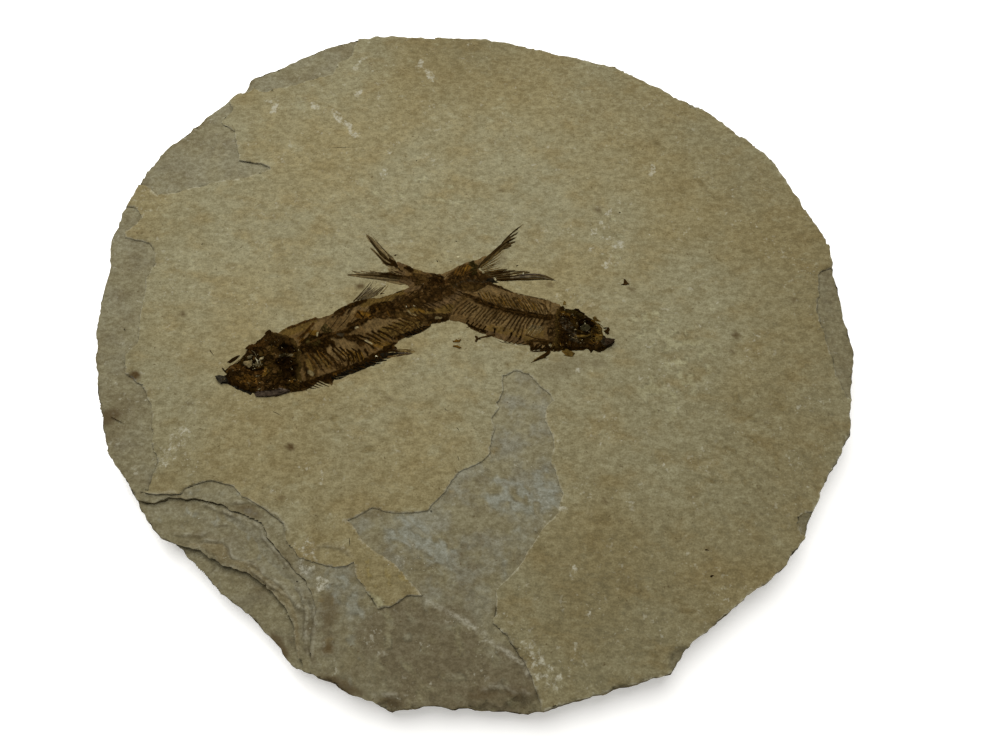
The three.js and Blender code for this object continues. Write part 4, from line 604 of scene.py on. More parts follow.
SMALL_STROKES = rows(3,
    ("skin_pale", 2, 0.9, 16, 1.6, 11, 2.6, 6, 4.8, 3, 6),
    ("film_ochre", 0.9, 0.5, 16, 1, 12, 1.6, 7, 3.4, 4, 5),
    ("skin_pale", 2, 0.95, 15, -3.6, 9, -3.4, 4, -1.6, 0, 0.6),
    ("skin_ochre", 1.7, 0.6, 16, -6, 10, -6.2, 5, -5), ("mauve", 0.8, 0.7, 12, -7.6, 8, -6.8, 4, -5.6),
    ("skin_pale", 1.6, 0.8, 19.6, 2, 18.6, -0.4), ("brown", 0.3, 0.6, 19.4, 3, 19, 0.4, 19.4, -2),
    ("brown", 0.3, 0.6, 18, 3, 17.8, 0.8), ("skin_dark", 1.3, 0.7, 19.4, -3, 19.6, -6.4),
    ("skin_dark", 0.8, 0.8, 20, -1.4, 14, -0.7, 8, 0.7, 4, 2.1, 1, 3.7),
    ("bone_dark", 0.5, 0.95, 13, -0.5, 8, 0.7, 4, 2.1, 1.6, 3.3),
    ("bone_dark", 0.85, 0.9, 19, -1.5, 16, -1, 12, -0.4), ("skin_dark", 0.5, 0.8, 1, 3.8, -0.6, 4.6),
    ("umber", 0.5, 0.8, 4.4, 8.2, 7.6, 6.9, 10, 5.8), ("skin_dark", 0.2, 0.7, 10, 5.8, 14, 4.5, 18, 3.5),
    ("bone_dark", 0.4, 0.8, -0.6, -3.2, 1.4, -4.4, 3.6, -5.2),
    ("bone_dark", 1.5, 0.8, 20.4, -9.2, 17.6, -9), ("bone_dark", 0.5, 0.9, 14.6, -8.2, 14.6, -10.2),
    ("bone_dark", 0.6, 0.8, 18.4, -10, 14.6, -10), ("cream_dull", 0.3, 0.9, 18.9, -8.8, 19.2, -9.2),
    ("skin_pale", 0.4, 0.9, 16.8, -9, 17.4, -9.3), ("bone_dark", 0.3, 0.8, 17.6, -7.6, 13.6, -7.8),
    ("brown", 2.2, 0.8, -2, 5.4, -8, 8, -13, 9.6), ("skin", 1, 0.8, -13.6, 12, -9, 11),
    ("skin_ochre", 0.7, 0.7, -16, 12.8, -13, 11.6), ("skin_dark", 1, 0.8, -16, 9.2, -14, 9),
    ("skin_dark", 1, 0.75, -10, 10, -7, 10), ("bone_dark", 0.7, 0.8, -15.8, 12.6, -14.6, 11.8),
    ("mauve", 0.9, 0.9, -17.8, 14, -16.6, 13.6), ("mauve", 0.9, 0.9, -19, 11.6, -17, 10.8),
    ("mauve", 0.8, 0.9, -18.6, 8.6, -14.6, 8))
SMALL_HEAD_STROKES = rows(3,
    ("bone_dark", 1.8, 0.9, 22.6, 0, 22.6, -8), ("olive_dark", 0.9, 0.7, 23, 0.6, 26, -0.4),
    ("ochre", 0.4, 0.6, 22.2, -0.4, 23.8, -1), ("black", 1.9, 0.95, 27.4, -3.9),
    ("slate", 0.8, 0.9, 27.3, -4.5), ("golden", 0.5, 0.6, 25, -6.7, 28.6, -6.9),
    ("golden", 0.7, 0.62, 30.6, -3.6, 31, -5.6, 30.4, -7.6),
    ("slate", 1.2, 0.56, 22.4, -2.8, 24, -5, 24.6, -8), ("bone_dark", 0.9, 0.8, 23, -9, 28, -9.4),
    ("umber", 0.9, 0.7, 27, -8.6, 30, -9), ("slate", 1.1, 0.8, 31.8, -8.2, 33.6, -8.2))

# Colours of stone, bone and film by name, as sRGB
TINTS = {
    "black": "#0f0701", "bone_dark": "#1f1304", "umber": "#2b1d0a", "ray_dark": "#291f0d",
    "ray_brown": "#4a3f28", "ray_ochre": "#4e3e1e", "blue_black": "#15120b", "skin": "#4b3a20",
    "skin_dark": "#2a1d0b", "skin_pale": "#564529", "skin_ochre": "#4e3d1c", "mauve": "#483822",
    "olive_dark": "#28200b", "red_brown": "#2b1b08", "rust_dark": "#34220b", "rust": "#452f0f",
    "ochre": "#503a13", "amber": "#5b4113", "cream": "#a29c7e", "cream_dull": "#7a6f50",
    "tan_shard": "#605438", "greenish": "#453d28", "slate_green": "#2b2717", "slate": "#2f281b",
    "blue_grey": "#2b271e", "purple_grey": "#393026", "head": "#221705", "brown": "#35260f",
    "golden": "#483817", "snout": "#291f14", "film_edge": "#514329", "film_ochre": "#52421f",
    "web_dark": "#372c17", "web_ochre": "#5d5133", "web_grey": "#4e4533", "web_brown": "#574a30",
    "bloom": "#7e7f73", "bed_brown": "#655d48", "bed_ochre": "#756848", "pale_face": "#8f8b6d",
    "brown_face": "#6a5e3c", "ochre_face": "#7c6e43",
}
HEAD_CHIPS = (["bone_dark"] * 12 + ["umber"] * 8 + ["black"] * 4 + ["rust_dark", "brown", "brown", "ochre",
                                                                   "cream_dull", "tan_shard"])
BODY_CHIPS = ["bone_dark"] * 5 + ["black", "skin_dark", "umber", "ochre", "skin_pale"]

# All that each fish is made from; wander is how far its ribs stray from even rows, leans are the slopes of
# its streaks above and below the backbone in degrees, and socket is the radius of its eye
LARGE = SimpleNamespace(
    name="large_fish", slot="dark_fossil_bone", skin=LARGE_SKIN, head=LARGE_HEAD, column=LARGE_COLUMN,
    joints=42, spine_width=0.5, eye=LARGE_EYE, socket=2.4, plates=LARGE_SKULL, shards=LARGE_SHARDS,
    slivers=LARGE_SLIVERS, webs=LARGE_WEBS, ribs=LARGE_RIBS, wander=0.34, fins=LARGE_FINS, rays=LARGE_RAYS,
    scutes=LARGE_SCUTES, strokes=LARGE_STROKES, head_strokes=LARGE_HEAD_STROKES, leans=(62, -55), lifted=True,
    skin_seed=3, head_seed=31, shard_seed=61)
SMALL = SimpleNamespace(
    name="small_fish", slot="brown_fossil_bone", skin=SMALL_SKIN, head=SMALL_HEAD, column=SMALL_COLUMN,
    joints=38, spine_width=0.36, eye=SMALL_EYE, socket=1.9, plates=SMALL_SKULL, shards=SMALL_SHARDS,
    slivers=SMALL_SLIVERS, webs=SMALL_WEBS, ribs=SMALL_RIBS, wander=0.13, fins=[], rays=SMALL_RAYS,
    scutes=SMALL_SCUTES, strokes=SMALL_STROKES, head_strokes=SMALL_HEAD_STROKES, leans=(120, -127),
    lifted=False, skin_seed=17, head_seed=47, shard_seed=67)


def hex_colour(text):
    """A linear colour from an sRGB hex value."""
    parts = [int(text[i:i + 2], 16) / 255 for i in (1, 3, 5)]
    return tuple(c / 12.92 if c <= 0.04045 else ((c + 0.055) / 1.055) ** 2.4 for c in parts)


def smoothstep(low, high, value):
    share = np.clip((value - low) / (high - low), 0, 1)
    return share * share * (3 - 2 * share)


def lumps(places, size, seed, octaves=1, stretch=1.0):
    """Noise from about -1 to 1 at each place, with lumps of that size in millimetres."""
    step = (1 / size, stretch / size)
    return np.array([noise.fractal(Vector((p[0] * step[0], p[1] * step[1], seed)), 1.0, 2.0, octaves)
                     for p in places])


def streaks(places, lean, seed):
    """Fine streaks from about -1 to 1 that run at an angle from the x axis."""
    cos, sin = math.cos(math.radians(lean)), math.sin(math.radians(lean))
    across = places[:, 1] * cos - places[:, 0] * sin
    along = places[:, 0] * cos + places[:, 1] * sin
    return lumps(np.c_[across, along], 0.42, seed, 2, stretch=0.13)


def beside(places, line):
    """Distance from each place to a line through points or to one point, below 0 on the line's right."""
    flat = places[:, :2]
    ends = line if len(line) > 1 else [line[0], line[0]]
    nearest = np.full(len(flat), 1e9)
    for a, b in zip(ends[:-1], ends[1:]):
        start, run = np.array(a, float), np.subtract(b, a).astype(float)
        reach = max(float(run @ run), 1e-9)
        share = np.clip((flat - start) @ run / reach, 0, 1)
        gap = flat - start - share[:, None] * run
        away = np.hypot(gap[:, 0], gap[:, 1])
        side = np.where(run[0] * (flat[:, 1] - a[1]) >= run[1] * (flat[:, 0] - a[0]), away, -away)
        nearest = np.where(away < np.abs(nearest), side, nearest)
    return nearest


def to_line(places, line):
    return np.abs(beside(places, line))


def inside(places, outline):
    """Distance from each place to an outline, above 0 inside it and below 0 outside."""
    x, y = places[:, 0], places[:, 1]
    crossed = np.zeros(len(places), bool)
    for (ax, ay), (bx, by) in zip(outline, outline[1:] + outline[:1]):
        if ay != by:
            crossed ^= ((ay > y) != (by > y)) & (x < (bx - ax) * (y - ay) / (by - ay) + ax)
    away = to_line(places, outline + outline[:1])
    return np.where(crossed, away, -away)


def in_patch(places, patch):
    """How strongly a soft oval patch covers each place."""
    x, y, along, across, turn, strength = patch
    cos, sin = math.cos(math.radians(turn)), math.sin(math.radians(turn))
    dx, dy = places[:, 0] - x, places[:, 1] - y
    reach = np.hypot((dx * cos + dy * sin) / along, (dy * cos - dx * sin) / across)
    return strength * (1 - smoothstep(0.55, 1.25, reach))


def spots_over(places, patches):
    return np.max([in_patch(places, patch) for patch in patches], axis=0)


def swell(places):
    """Height of the split face above its mean: broad waves with fine ripples along the bedding."""
    broad = 0.09 * lumps(places, 27, 3.1)
    ripple = 0.03 * lumps(places, 5, 7.7, stretch=2.0)
    return broad + ripple


def painted(places, start, strokes, seed, size=1.0):
    """Colours with their cover after brush strokes with broken edges, one over the other."""
    wander = 0.34 * size * np.c_[lumps(places, 1.3 * size, seed), lumps(places, 1.3 * size, seed + 9)]
    wander += 0.2 * size * np.c_[lumps(places, 0.5 * size, seed + 3), lumps(places, 0.5 * size, seed + 5)]
    broken = lumps(places, 0.6 * size, seed + 7, 2)
    colours = np.tile(start, (len(places), 1))
    for tint, radius, strength, line in strokes:
        bent = places[:, :2] + wander * min(1.0, 1.2 * radius / size)
        cover = 1 - smoothstep(0.82, 1.1, to_line(bent, line) / radius)
        held = smoothstep(-0.14, 0.14, broken + 2.4 * strength - 1.25)
        share = (cover * held * min(1.0, strength + 0.25))[:, None]
        colours = colours * (1 - share) + np.array([*hex_colour(TINTS[tint]), 1]) * share
    return colours


def clouded(places, base, strokes, seed):
    """Colours of a fish: the base tint with its strokes, clouded lighter and darker."""
    colours = painted(places, [*hex_colour(TINTS[base]), 1], strokes, seed)
    cloud = 1 + 0.3 * lumps(places, 2.4, seed + 11) + 0.3 * lumps(places, 0.6, seed + 13, 2)
    return colours[:, :3] * np.clip(cloud, 0.5, 1.35)[:, None]


def places_of(bm):
    return np.array([v.co[:] for v in bm.verts], float).reshape(-1, 3)


def jostle(places, *waves):
    """Moves places sideways by noise, each wave with its reach, its size and its seeds for x and y."""
    for axis in (0, 1):
        places[:, axis] += sum(reach * lumps(places, size, seeds[axis]) for reach, size, seeds in waves)


def move_to(bm, places):
    for v, place in zip(bm.verts, places):
        v.co = place


def parts_around(faces):
    """The faces with their edges and corners, as the cutting operator wants them."""
    edges = {e for f in faces for e in f.edges}
    corners = {v for f in faces for v in f.verts}
    return list(faces) + list(edges) + list(corners)


def cut_between(bm, faces, axis, low, high, pitch):
    """Cuts faces by even planes across an axis, halving the set each time, so that no cut sees all of it."""
    steps = round((high - low) / pitch)
    if steps < 2 or not faces:
        return faces
    middle = low + steps // 2 * pitch
    across = Vector([float(i == axis) for i in range(3)])
    made = bmesh.ops.bisect_plane(
        bm, geom=parts_around(faces), dist=1e-4, plane_co=across * middle, plane_no=across)
    cut = [f for f in made["geom"] if isinstance(f, bmesh.types.BMFace)]
    below = [f for f in cut if f.calc_center_median()[axis] < middle]
    above = [f for f in cut if f.calc_center_median()[axis] >= middle]
    return (cut_between(bm, below, axis, low, middle, pitch)
            + cut_between(bm, above, axis, middle, high, pitch))


def cut_fine(bm, faces, pitch, reach=96):
    """Cuts faces into squares of that pitch."""
    limit = math.ceil(reach / pitch) * pitch
    for axis in (0, 1):
        faces = cut_between(bm, faces, axis, -limit, limit, pitch)
    return faces


def extrude_outline(bm, outline, low, height):
    """Adds a closed flat body over an outline."""
    base = bm.faces.new([bm.verts.new((x, y, low)) for x, y in outline])
    base.normal_update()
    if base.normal.z > 0:
        base.normal_flip()
    made = bmesh.ops.extrude_face_region(bm, geom=[base])
    raised = [v for v in made["geom"] if isinstance(v, bmesh.types.BMVert)]
    bmesh.ops.translate(bm, vec=(0, 0, height), verts=raised)
    bmesh.ops.recalc_face_normals(bm, faces=bm.faces)


def flat_body(outline, low, high, pitch):
    """A closed flat body over an outline, its top and sides cut fine."""
    bm = bmesh.new()
    extrude_outline(bm, outline, low, high - low)
    cut_fine(bm, [f for f in bm.faces if f.normal.z > -0.5], pitch)
    return bm


def film_body(outline, pitch):
    """A thin flat body sunk into the plate's face, with its places and which of them are on top."""
    bm = flat_body(outline, FACE - SUNK, FACE, pitch / MM)
    places = places_of(bm)
    return bm, places, places[:, 2] > FACE - SUNK / 2


def new_piece(name, bm, material, slot, stands_for=None, smooth_angle=35):
    """Makes a finished piece of a mesh in millimetres: scaled to metres, shaded, and riding on the plate."""
    bmesh.ops.scale(bm, vec=(MM, MM, MM), verts=bm.verts)
    mesh = bpy.data.meshes.new(name)
    bm.to_mesh(mesh)
    bm.free()
    mesh.shade_smooth()
    mesh.set_sharp_from_angle(angle=math.radians(smooth_angle))
    mesh.materials.append(material)
    piece = bpy.data.objects.new(name, mesh)
    bpy.context.scene.collection.objects.link(piece)
    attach(piece, "root")
    if stands_for:
        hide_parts(stands_for)


def set_marks(bm, name, values):
    layer = bm.verts.layers.float.get(name) or bm.verts.layers.float.new(name)
    for v, value in zip(bm.verts, values):
        v[layer] = float(value)


def set_tints(bm, colours):
    """Stores a colour at each corner, with its cover if it has one."""
    layer = bm.verts.layers.float_color.get("tint") or bm.verts.layers.float_color.new("tint")
    for v, colour in zip(bm.verts, colours):
        v[layer] = (*colour[:3], colour[3] if len(colour) > 3 else 1)


# Where the ledges are thinnest, the stone is cut finer: west, east, south and north, and down to this depth
FINE_PART = (-72, -28.5, -84, -42.75)
LEDGE_DEPTH = 2.6
# Distance from the middle past which a steep face is the plate's side, and past which it is ragged
RIM_SIDE = 60
RIM_START = 68


def limestone_body(settings):
    """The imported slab, cut fine, with the layers of its broken side marked by cuts."""
    pitch, lamina = settings.pitch / MM, settings.lamina / MM
    bm = bmesh.new()
    bm.from_mesh(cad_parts["limestone_slab"].data)
    bmesh.ops.scale(bm, vec=(1 / MM, 1 / MM, 1 / MM), verts=bm.verts)
    bmesh.ops.remove_doubles(bm, verts=bm.verts, dist=1e-3)
    bmesh.ops.dissolve_limit(bm, angle_limit=math.radians(0.6), verts=bm.verts, edges=bm.edges)
    bm.normal_update()
    under = [f for f in bm.faces if f.normal.z < -0.7]
    shown = [f for f in bm.faces if f.normal.z >= -0.7]
    cut_fine(bm, shown, pitch)
    cut_fine(bm, under, 4 * pitch)
    bm.normal_update()
    west, east, south, north = FINE_PART
    middles = [(f, f.calc_center_median()) for f in bm.faces if f.normal.z > 0.3]
    close = [f for f, m in middles if west < m.x < east and south < m.y < north and m.z > FACE - LEDGE_DEPTH]
    close = cut_between(bm, close, 0, west, east, pitch / 2)
    cut_between(bm, close, 1, south, north, pitch / 2)
    bm.normal_update()
    sides = [f for f in bm.faces if abs(f.normal.z) < 0.7 and f.calc_center_median().xy.length > RIM_SIDE]
    level = lamina
    while level < FACE - 0.1:
        for height in (level, level + 0.07):
            up = Vector((0, 0, 1))
            made = bmesh.ops.bisect_plane(
                bm, geom=parts_around(sides), dist=1e-4, plane_co=up * height, plane_no=up)
            sides = [f for f in made["geom"] if isinstance(f, bmesh.types.BMFace)]
        level += lamina
    bm.normal_update()
    return bm


def tone_and_light_falloff(places):
    """Painted light: the face is palest left of the middle and darker towards the rim, where the light falls
    off, with broad changes of tone over it.
    """
    away = np.hypot(places[:, 0] + 18, places[:, 1] - 22)
    tone = 1.04 - 0.24 * smoothstep(25, 115, away)
    for x, y, radius, change in TONES:
        tone += change * (1 - smoothstep(0.1, 1.0, np.hypot(places[:, 0] - x, places[:, 1] - y) / radius))
    return tone


def scarps(places):
    """The rise of the thin layers that end along lines, with the painted shadow at the foot and the painted
    highlight on the lip of each.
    """
    rise = np.zeros(len(places))
    foot, lip = rise.copy(), rise.copy()
    wander = 0.3 * lumps(places, 2.1, 61.5) + 0.22 * lumps(places, 0.8, 63.2)
    thinning = 0.75 + 0.5 * lumps(places, 2.7, 67.9)
    for height, reach, line in SCARPS:
        side = beside(places, line) + wander
        ends = np.minimum(to_line(places, line[:1]), to_line(places, line[-1:]))
        held = smoothstep(0.1, 1.8, ends) * np.clip(thinning, 0, 1)
        rise += height * held * smoothstep(-0.2, 0.2, side) * (1 - smoothstep(0, reach, side))
        if height > 0:
            foot = np.maximum(foot, held * (1 - smoothstep(0.12, 0.42, np.abs(side + 0.1))))
            lip = np.maximum(lip, 0.5 * held * (1 - smoothstep(0.1, 0.5, np.abs(side - 0.4))))
        else:
            lip = np.maximum(lip, held * (1 - smoothstep(0.2, 0.7, np.abs(side))))
    return rise, foot, lip


def roughen_limestone(bm, settings):
    """Makes the rim and ledges ragged, waves the face a little, and marks what is bare, chalky or stained,
    with painted highlight on the lips of steps and painted shadow at the foot of thin layers.
    """
    lamina, wobble = settings.lamina / MM, settings.raggedness / MM
    places = places_of(bm)
    x, y, z = places.T
    steep = np.array([any(abs(f.normal.z) < 0.7 for f in v.link_faces) for v in bm.verts])
    upper = np.array([any(f.normal.z > 0.7 for f in v.link_faces) for v in bm.verts])
    below = np.array([all(f.normal.z < -0.7 for f in v.link_faces) for v in bm.verts])
    reach = np.hypot(x, y)
    rim = steep & (reach > RIM_START) & (z < FACE + 1)
    layer = np.floor((z + 0.02) / lamina)
    layered = np.c_[x + 31 * layer, y - 17 * layer]
    out = wobble * (lumps(layered, 6.5, 1.7) + 0.6 * lumps(layered, 1.7, 5.2)) - 0.12
    out = np.where(rim, np.clip(out, -1.0, 0.3), 0)
    dx = wobble * (lumps(places, 4.4, 11.3) + 0.7 * lumps(places, 1.3, 2.9))
    dy = wobble * (lumps(places, 4.4, 23.8) + 0.7 * lumps(places, 1.3, 19.4))
    fine = 0.022 * lumps(places, 1.5, 4.4, 2) + 0.012 * lumps(places, 0.8, 9.9)
    nibble = np.clip(lumps(places, 3.1, 31.7) - 0.12, 0, 1) * 1.5 * (upper & steep & (reach > 70))
    layer_rise, foot, lip = scarps(places)
    rise = np.where(upper, swell(places) + fine + layer_rise, 0) - nibble
    on_bed = np.abs(FACE - LAMINA - z) < 0.05
    rise += on_bed * (SHALLOWER + 0.07 * smoothstep(-0.2, 0.4, inside(places, THIN_SHEET)))
    ledge_edge = smoothstep(1.2, 6.5, z)
    rise += np.where(steep & ~upper, 0.12 * lumps(layered, 9, 8.8) * ledge_edge * (z < FACE - 0.6), 0)
    rise += np.where(below & (z < 3), 0.05 + 0.05 * lumps(places, 8, 13.1), 0)
    moved = np.c_[x + dx + out * x / np.maximum(reach, 1), y + dy + out * y / np.maximum(reach, 1), z + rise]
    moved[:, 2] = np.maximum(moved[:, 2], 0)
    move_to(bm, moved)
    drop = FACE - z
    bare = smoothstep(0.2, 0.35, drop)
    south = smoothstep(-1, 0.5, inside(places, SOUTH_LEDGE))
    clear = [0.0, 0.0, 0.0, 0.0]
    strokes = np.where((bare > 0.5)[:, None], painted(places, clear, BED_STROKES, 51, 4),
                       painted(places, clear, FACE_STROKES, 57, 4))
    set_tints(bm, np.c_[strokes[:, :3] / np.maximum(strokes[:, 3:], 0.001), strokes[:, 3]])
    set_marks(bm, "bare", bare)
    set_marks(bm, "bloom", bare * (0.25 + 0.5 * south * (1 - smoothstep(-62, -80, y))))
    set_marks(bm, "side", np.where(steep & ~upper, 1.0, 0.0) * (reach > RIM_SIDE))
    # Painted highlight on the upper edges of steps and painted shadow at the foot of thin layers
    set_marks(bm, "lip", np.maximum((steep & upper) * (drop < 0.2) * 0.8, lip * upper))
    set_marks(bm, "foot", foot * upper)
    # Chalk crumbles towards the edge of each patch, so the patches reach further than its solid part
    wide = [(at_x, at_y, 1.3 * along, 1.5 * across, *rest) for at_x, at_y, along, across, *rest in CHALK]
    set_marks(bm, "chalk", spots_over(places, wide))
    set_marks(bm, "stain", spots_over(places, SPOTS))
    set_marks(bm, "tone", tone_and_light_falloff(places))


def remnant(drop, thickness, slope, tint, cover, outline, settings):
    """A thin sheet of stone that a lower step has kept, run out thin and ragged at its edge."""
    base = FACE - drop
    bm = flat_body(outline, base - 0.2, base + thickness, settings.pitch / MM / 2)
    places = places_of(bm)
    top = places[:, 2] > base
    wear_and_lip_highlight = smoothstep(-0.1, slope, inside(places, outline) + 0.3 * lumps(places, 1.6, 44.1, 2))
    jostle(places, (0.5, 2.6, (41.2, 17.9)), (0.25, 0.9, (6.6, 8.1)))
    sunk = base - 0.1 + (thickness + 0.1 + 0.05 * lumps(places, 1.2, 5.8, 2)) * wear_and_lip_highlight
    layer_rise, foot, lip = scarps(places)
    places[:, 2] = np.where(top, sunk + swell(places) + layer_rise, places[:, 2])
    move_to(bm, places)
    set_tints(bm, np.tile([*hex_colour(TINTS[tint]), cover], (len(places), 1)))
    for name, value in (("bare", 1), ("bloom", 0.1), ("side", 0), ("chalk", 0), ("stain", 0.05)):
        set_marks(bm, name, np.full(len(places), value))
    # Painted shadow at the foot of its thin layers, and painted highlight on their lips and along the sheet's
    # thinned edge
    set_marks(bm, "foot", foot)
    set_marks(bm, "lip", np.maximum(lip, (1 - wear_and_lip_highlight) * 0.3))
    set_marks(bm, "tone", tone_and_light_falloff(places))
    return bm


def add_to(bm, part):
    """Adds a finished part to a mesh under construction."""
    mesh = bpy.data.meshes.new("part")
    part.to_mesh(mesh)
    part.free()
    bm.from_mesh(mesh)
    bpy.data.meshes.remove(mesh)


def curve_point(path, share):
    """Point and direction on a smooth curve through the points of a path."""
    spans = len(path) - 1
    at = min(max(share, 0), 1) * spans
    i = min(int(at), spans - 1)
    t = at - i
    a, b = Vector(path[i]), Vector(path[i + 1])
    before = Vector(path[i - 1]) if i > 0 else 2 * a - b
    after = Vector(path[i + 2]) if i + 2 <= spans else 2 * b - a
    out_a, in_b = (b - before) / 2, (after - a) / 2
    point = ((2 * t ** 3 - 3 * t ** 2 + 1) * a + (t ** 3 - 2 * t ** 2 + t) * out_a
             + (3 * t ** 2 - 2 * t ** 3) * b + (t ** 3 - t ** 2) * in_b)
    slope = ((6 * t ** 2 - 6 * t) * a + (3 * t ** 2 - 4 * t + 1) * out_a
             + (6 * t - 6 * t ** 2) * b + (3 * t ** 2 - 2 * t) * in_b)
    return point, slope.normalized()


def bones_mesh():
    bm = bmesh.new()
    bm.verts.layers.float_color.new("tint")
    return bm


def rod(bm, path, width, height, base_at, tint, sides=6, rings=7, shape=None):
    """A bone laid along a flat path: a cylinder cut into rings, bent to the path and shaped along it."""
    part = bones_mesh()
    bmesh.ops.create_cone(part, cap_ends=True, segments=sides, radius1=1, radius2=1, depth=1)
    length = [e for e in part.edges if abs(e.verts[0].co.z - e.verts[1].co.z) > 0.5]
    bmesh.ops.subdivide_edges(part, edges=length, cuts=rings)
    layer = part.verts.layers.float_color["tint"]
    taper = shape or (lambda s: 0.3 + 0.7 * (1 - s) ** 0.8)
    for v in part.verts:
        share = min(max(v.co.z + 0.5, 0), 1)
        point, along = curve_point(path, share)
        scale = taper(share)
        crushed = noise.noise(Vector((point.x * 1.9, point.y * 1.9, width * 90)))
        faded = noise.noise(Vector((point.x * 0.9, point.y * 0.9, 5.5)))
        side = Vector((along.y, -along.x)) * v.co.x * width * scale * (1 + 0.45 * crushed)
        spot = point + side
        rise = height * scale * (1 + 0.3 * crushed) * (1 - 0.7 * max(faded, 0))
        v.co = Vector((spot.x, spot.y, base_at(point.x, point.y) + v.co.y * rise))
        v[layer] = (*[c * (1 + 0.5 * crushed + 0.4 * faded) for c in tint], 1)
    add_to(bm, part)


def leaf(s):
    """How a fin ray swells from its root and runs out to a point."""
    return min(0.55 + 1.5 * s, 1) * max(1 - s ** 2.2, 0.12)


def row_paths(row, rng, wander):
    """The paths of a row of like bones, from one key path to the next, each a little off and cut short."""
    count, width, height, tint, keys = row
    for i in range(count):
        place = (i / (count - 1)) * (len(keys) - 1) if count > 1 else 0
        first = min(int(place), max(len(keys) - 2, 0))
        last = min(first + 1, len(keys) - 1)
        share = place - first
        path = []
        for a, b in zip(keys[first], keys[last]):
            off = Vector((rng.uniform(-1, 1), rng.uniform(-1, 1))) * wander
            path.append(Vector(a).lerp(Vector(b), share) + off)
        path[-1] = path[-1].lerp(path[-2], rng.uniform(0, 0.55))
        yield path, width * rng.uniform(0.6, 1.3), height * rng.uniform(0.7, 1.15), tint


# Where the large fish's skin is raised over the small one: place, turn, half length, half width, rise
LIFT = ((-4.4, 5.6), 0.44, 9.5, 7.5, 0.16)


def lift(places):
    (cx, cy), turn, along, across, height = LIFT
    dx, dy = places[:, 0] - cx, places[:, 1] - cy
    ahead = dx * math.cos(turn) + dy * math.sin(turn)
    aside = dy * math.cos(turn) - dx * math.sin(turn)
    return height * (1 - smoothstep(0.5, 1.15, np.hypot(ahead / along, aside / across)))


def crumbled(places, size, seed):
    """The tone and height of a crushed surface at each place: angular pieces with black cracks."""
    tones, heights = [], []
    for place in places:
        spot = Vector((place[0] / size, place[1] / size, seed))
        away, cores = noise.voronoi(spot)
        value = noise.cell(7.3 * cores[0])
        lean = Vector((noise.cell(3.1 * cores[0]), noise.cell(4.7 * cores[0]), 0))
        crack = max(0, 1 - (away[1] - away[0]) / 0.16)
        pale = max(0, value - 0.5) / 0.5
        shine = [0.84 + 0.4 * value + extra * pale for extra in (0.9, 1.05, 1.5)]
        tones.append([c * (1 - 0.6 * crack) for c in shine])
        heights.append(0.5 * value + lean.dot(spot - cores[0]) - 0.3 * crack)
    return np.array(tones), np.array(heights)


def bone_strokes(rows, wander, seed):
    """Fine strokes that stain the skin along each dark bone."""
    rng = random.Random(seed)
    strokes = []
    for row in rows:
        for path, width, _height, tint in row_paths(row, rng, wander):
            if tint in ("bone_dark", "black", "umber", "brown"):
                strokes.append(("skin_dark", 0.1 + width, 0.6, [tuple(p) for p in path]))
    return strokes


def skin(fish, settings):
    """The film of skin: thin, ragged at the edge, streaked along the ribs, thicker where bone darkens it."""
    seed = fish.skin_seed
    bm, places, top = film_body(fish.skin, settings.film_pitch)
    depth = inside(places, fish.skin) + 0.14 * lumps(places, 0.7, seed + 21)
    edge = smoothstep(-0.1, 0.45, depth)
    line = np.array(sorted(fish.column))
    over = places[:, 1] > np.interp(places[:, 0], line[:, 0], line[:, 1])
    above, below = [streaks(places, lean, seed + 41 + 2 * i) for i, lean in enumerate(fish.leans)]
    fine = np.where(over, above, below)
    strokes = fish.strokes + bone_strokes(fish.ribs, fish.wander, 5)
    colours = clouded(places, "skin", strokes, seed) * np.clip(1 + 0.4 * fine, 0.6, 1.25)[:, None]
    ridge = 1 - smoothstep(0.3, 3.4, to_line(places, fish.column))
    dark = 1 - smoothstep(0.008, 0.035, colours[:, 1])
    bent = places + 0.16 * np.c_[lumps(places, 0.7, seed + 35), lumps(places, 0.7, seed + 37), 0 * dark]
    crumbs, broken = crumbled(bent, 0.6, seed + 29)
    colours *= 1 + dark[:, None] * (1.15 * crumbs - 1.02)
    height = 0.07 + 0.14 * ridge + swell(places) + 0.045 * fine
    height += dark * (0.12 + 0.12 * broken)
    height += 0.03 * lumps(places, 1.3, seed + 25) + 0.02 * lumps(places, 0.4, seed + 27)
    if fish.lifted:
        height += lift(places)
    else:
        height -= 0.1 * smoothstep(-1, 1.5, inside(places, LARGE_SKIN))
    fade = smoothstep(-0.06, 0.3, depth)[:, None]
    set_tints(bm, np.array(hex_colour(TINTS["film_edge"])) * (1 - fade) + colours * fade)
    places[:, 2] = np.where(top, FACE - EDGE_SINK + (height + EDGE_SINK) * edge, places[:, 2])
    jostle(places, (0.14, 0.9, (seed + 1, seed + 2)), (0.07, 0.35, (seed + 31, seed + 33)))
    move_to(bm, places)
    return bm


def web(tint, lean, outline, seed, settings):
    """The stain that a fin's membrane has left: a very thin film, streaked along its rays."""
    bm, places, top = film_body(outline, settings.film_pitch)
    depth = inside(places, outline) + 0.1 * lumps(places, 0.5, seed + 21)
    edge = smoothstep(-0.05, 0.25, depth)
    fine = streaks(places, lean, seed)
    cloud = 1 + 0.8 * fine + 0.35 * lumps(places, 0.9, seed + 3, 2)
    set_tints(bm, np.array(hex_colour(TINTS[tint])) * np.clip(cloud, 0.3, 1.9)[:, None])
    height = 0.09 + 0.05 * fine + swell(places)
    places[:, 2] = np.where(top, FACE - EDGE_SINK + (height + EDGE_SINK) * edge, places[:, 2])
    jostle(places, (0.07, 0.5, (seed + 1, seed + 2)))
    move_to(bm, places)
    return bm


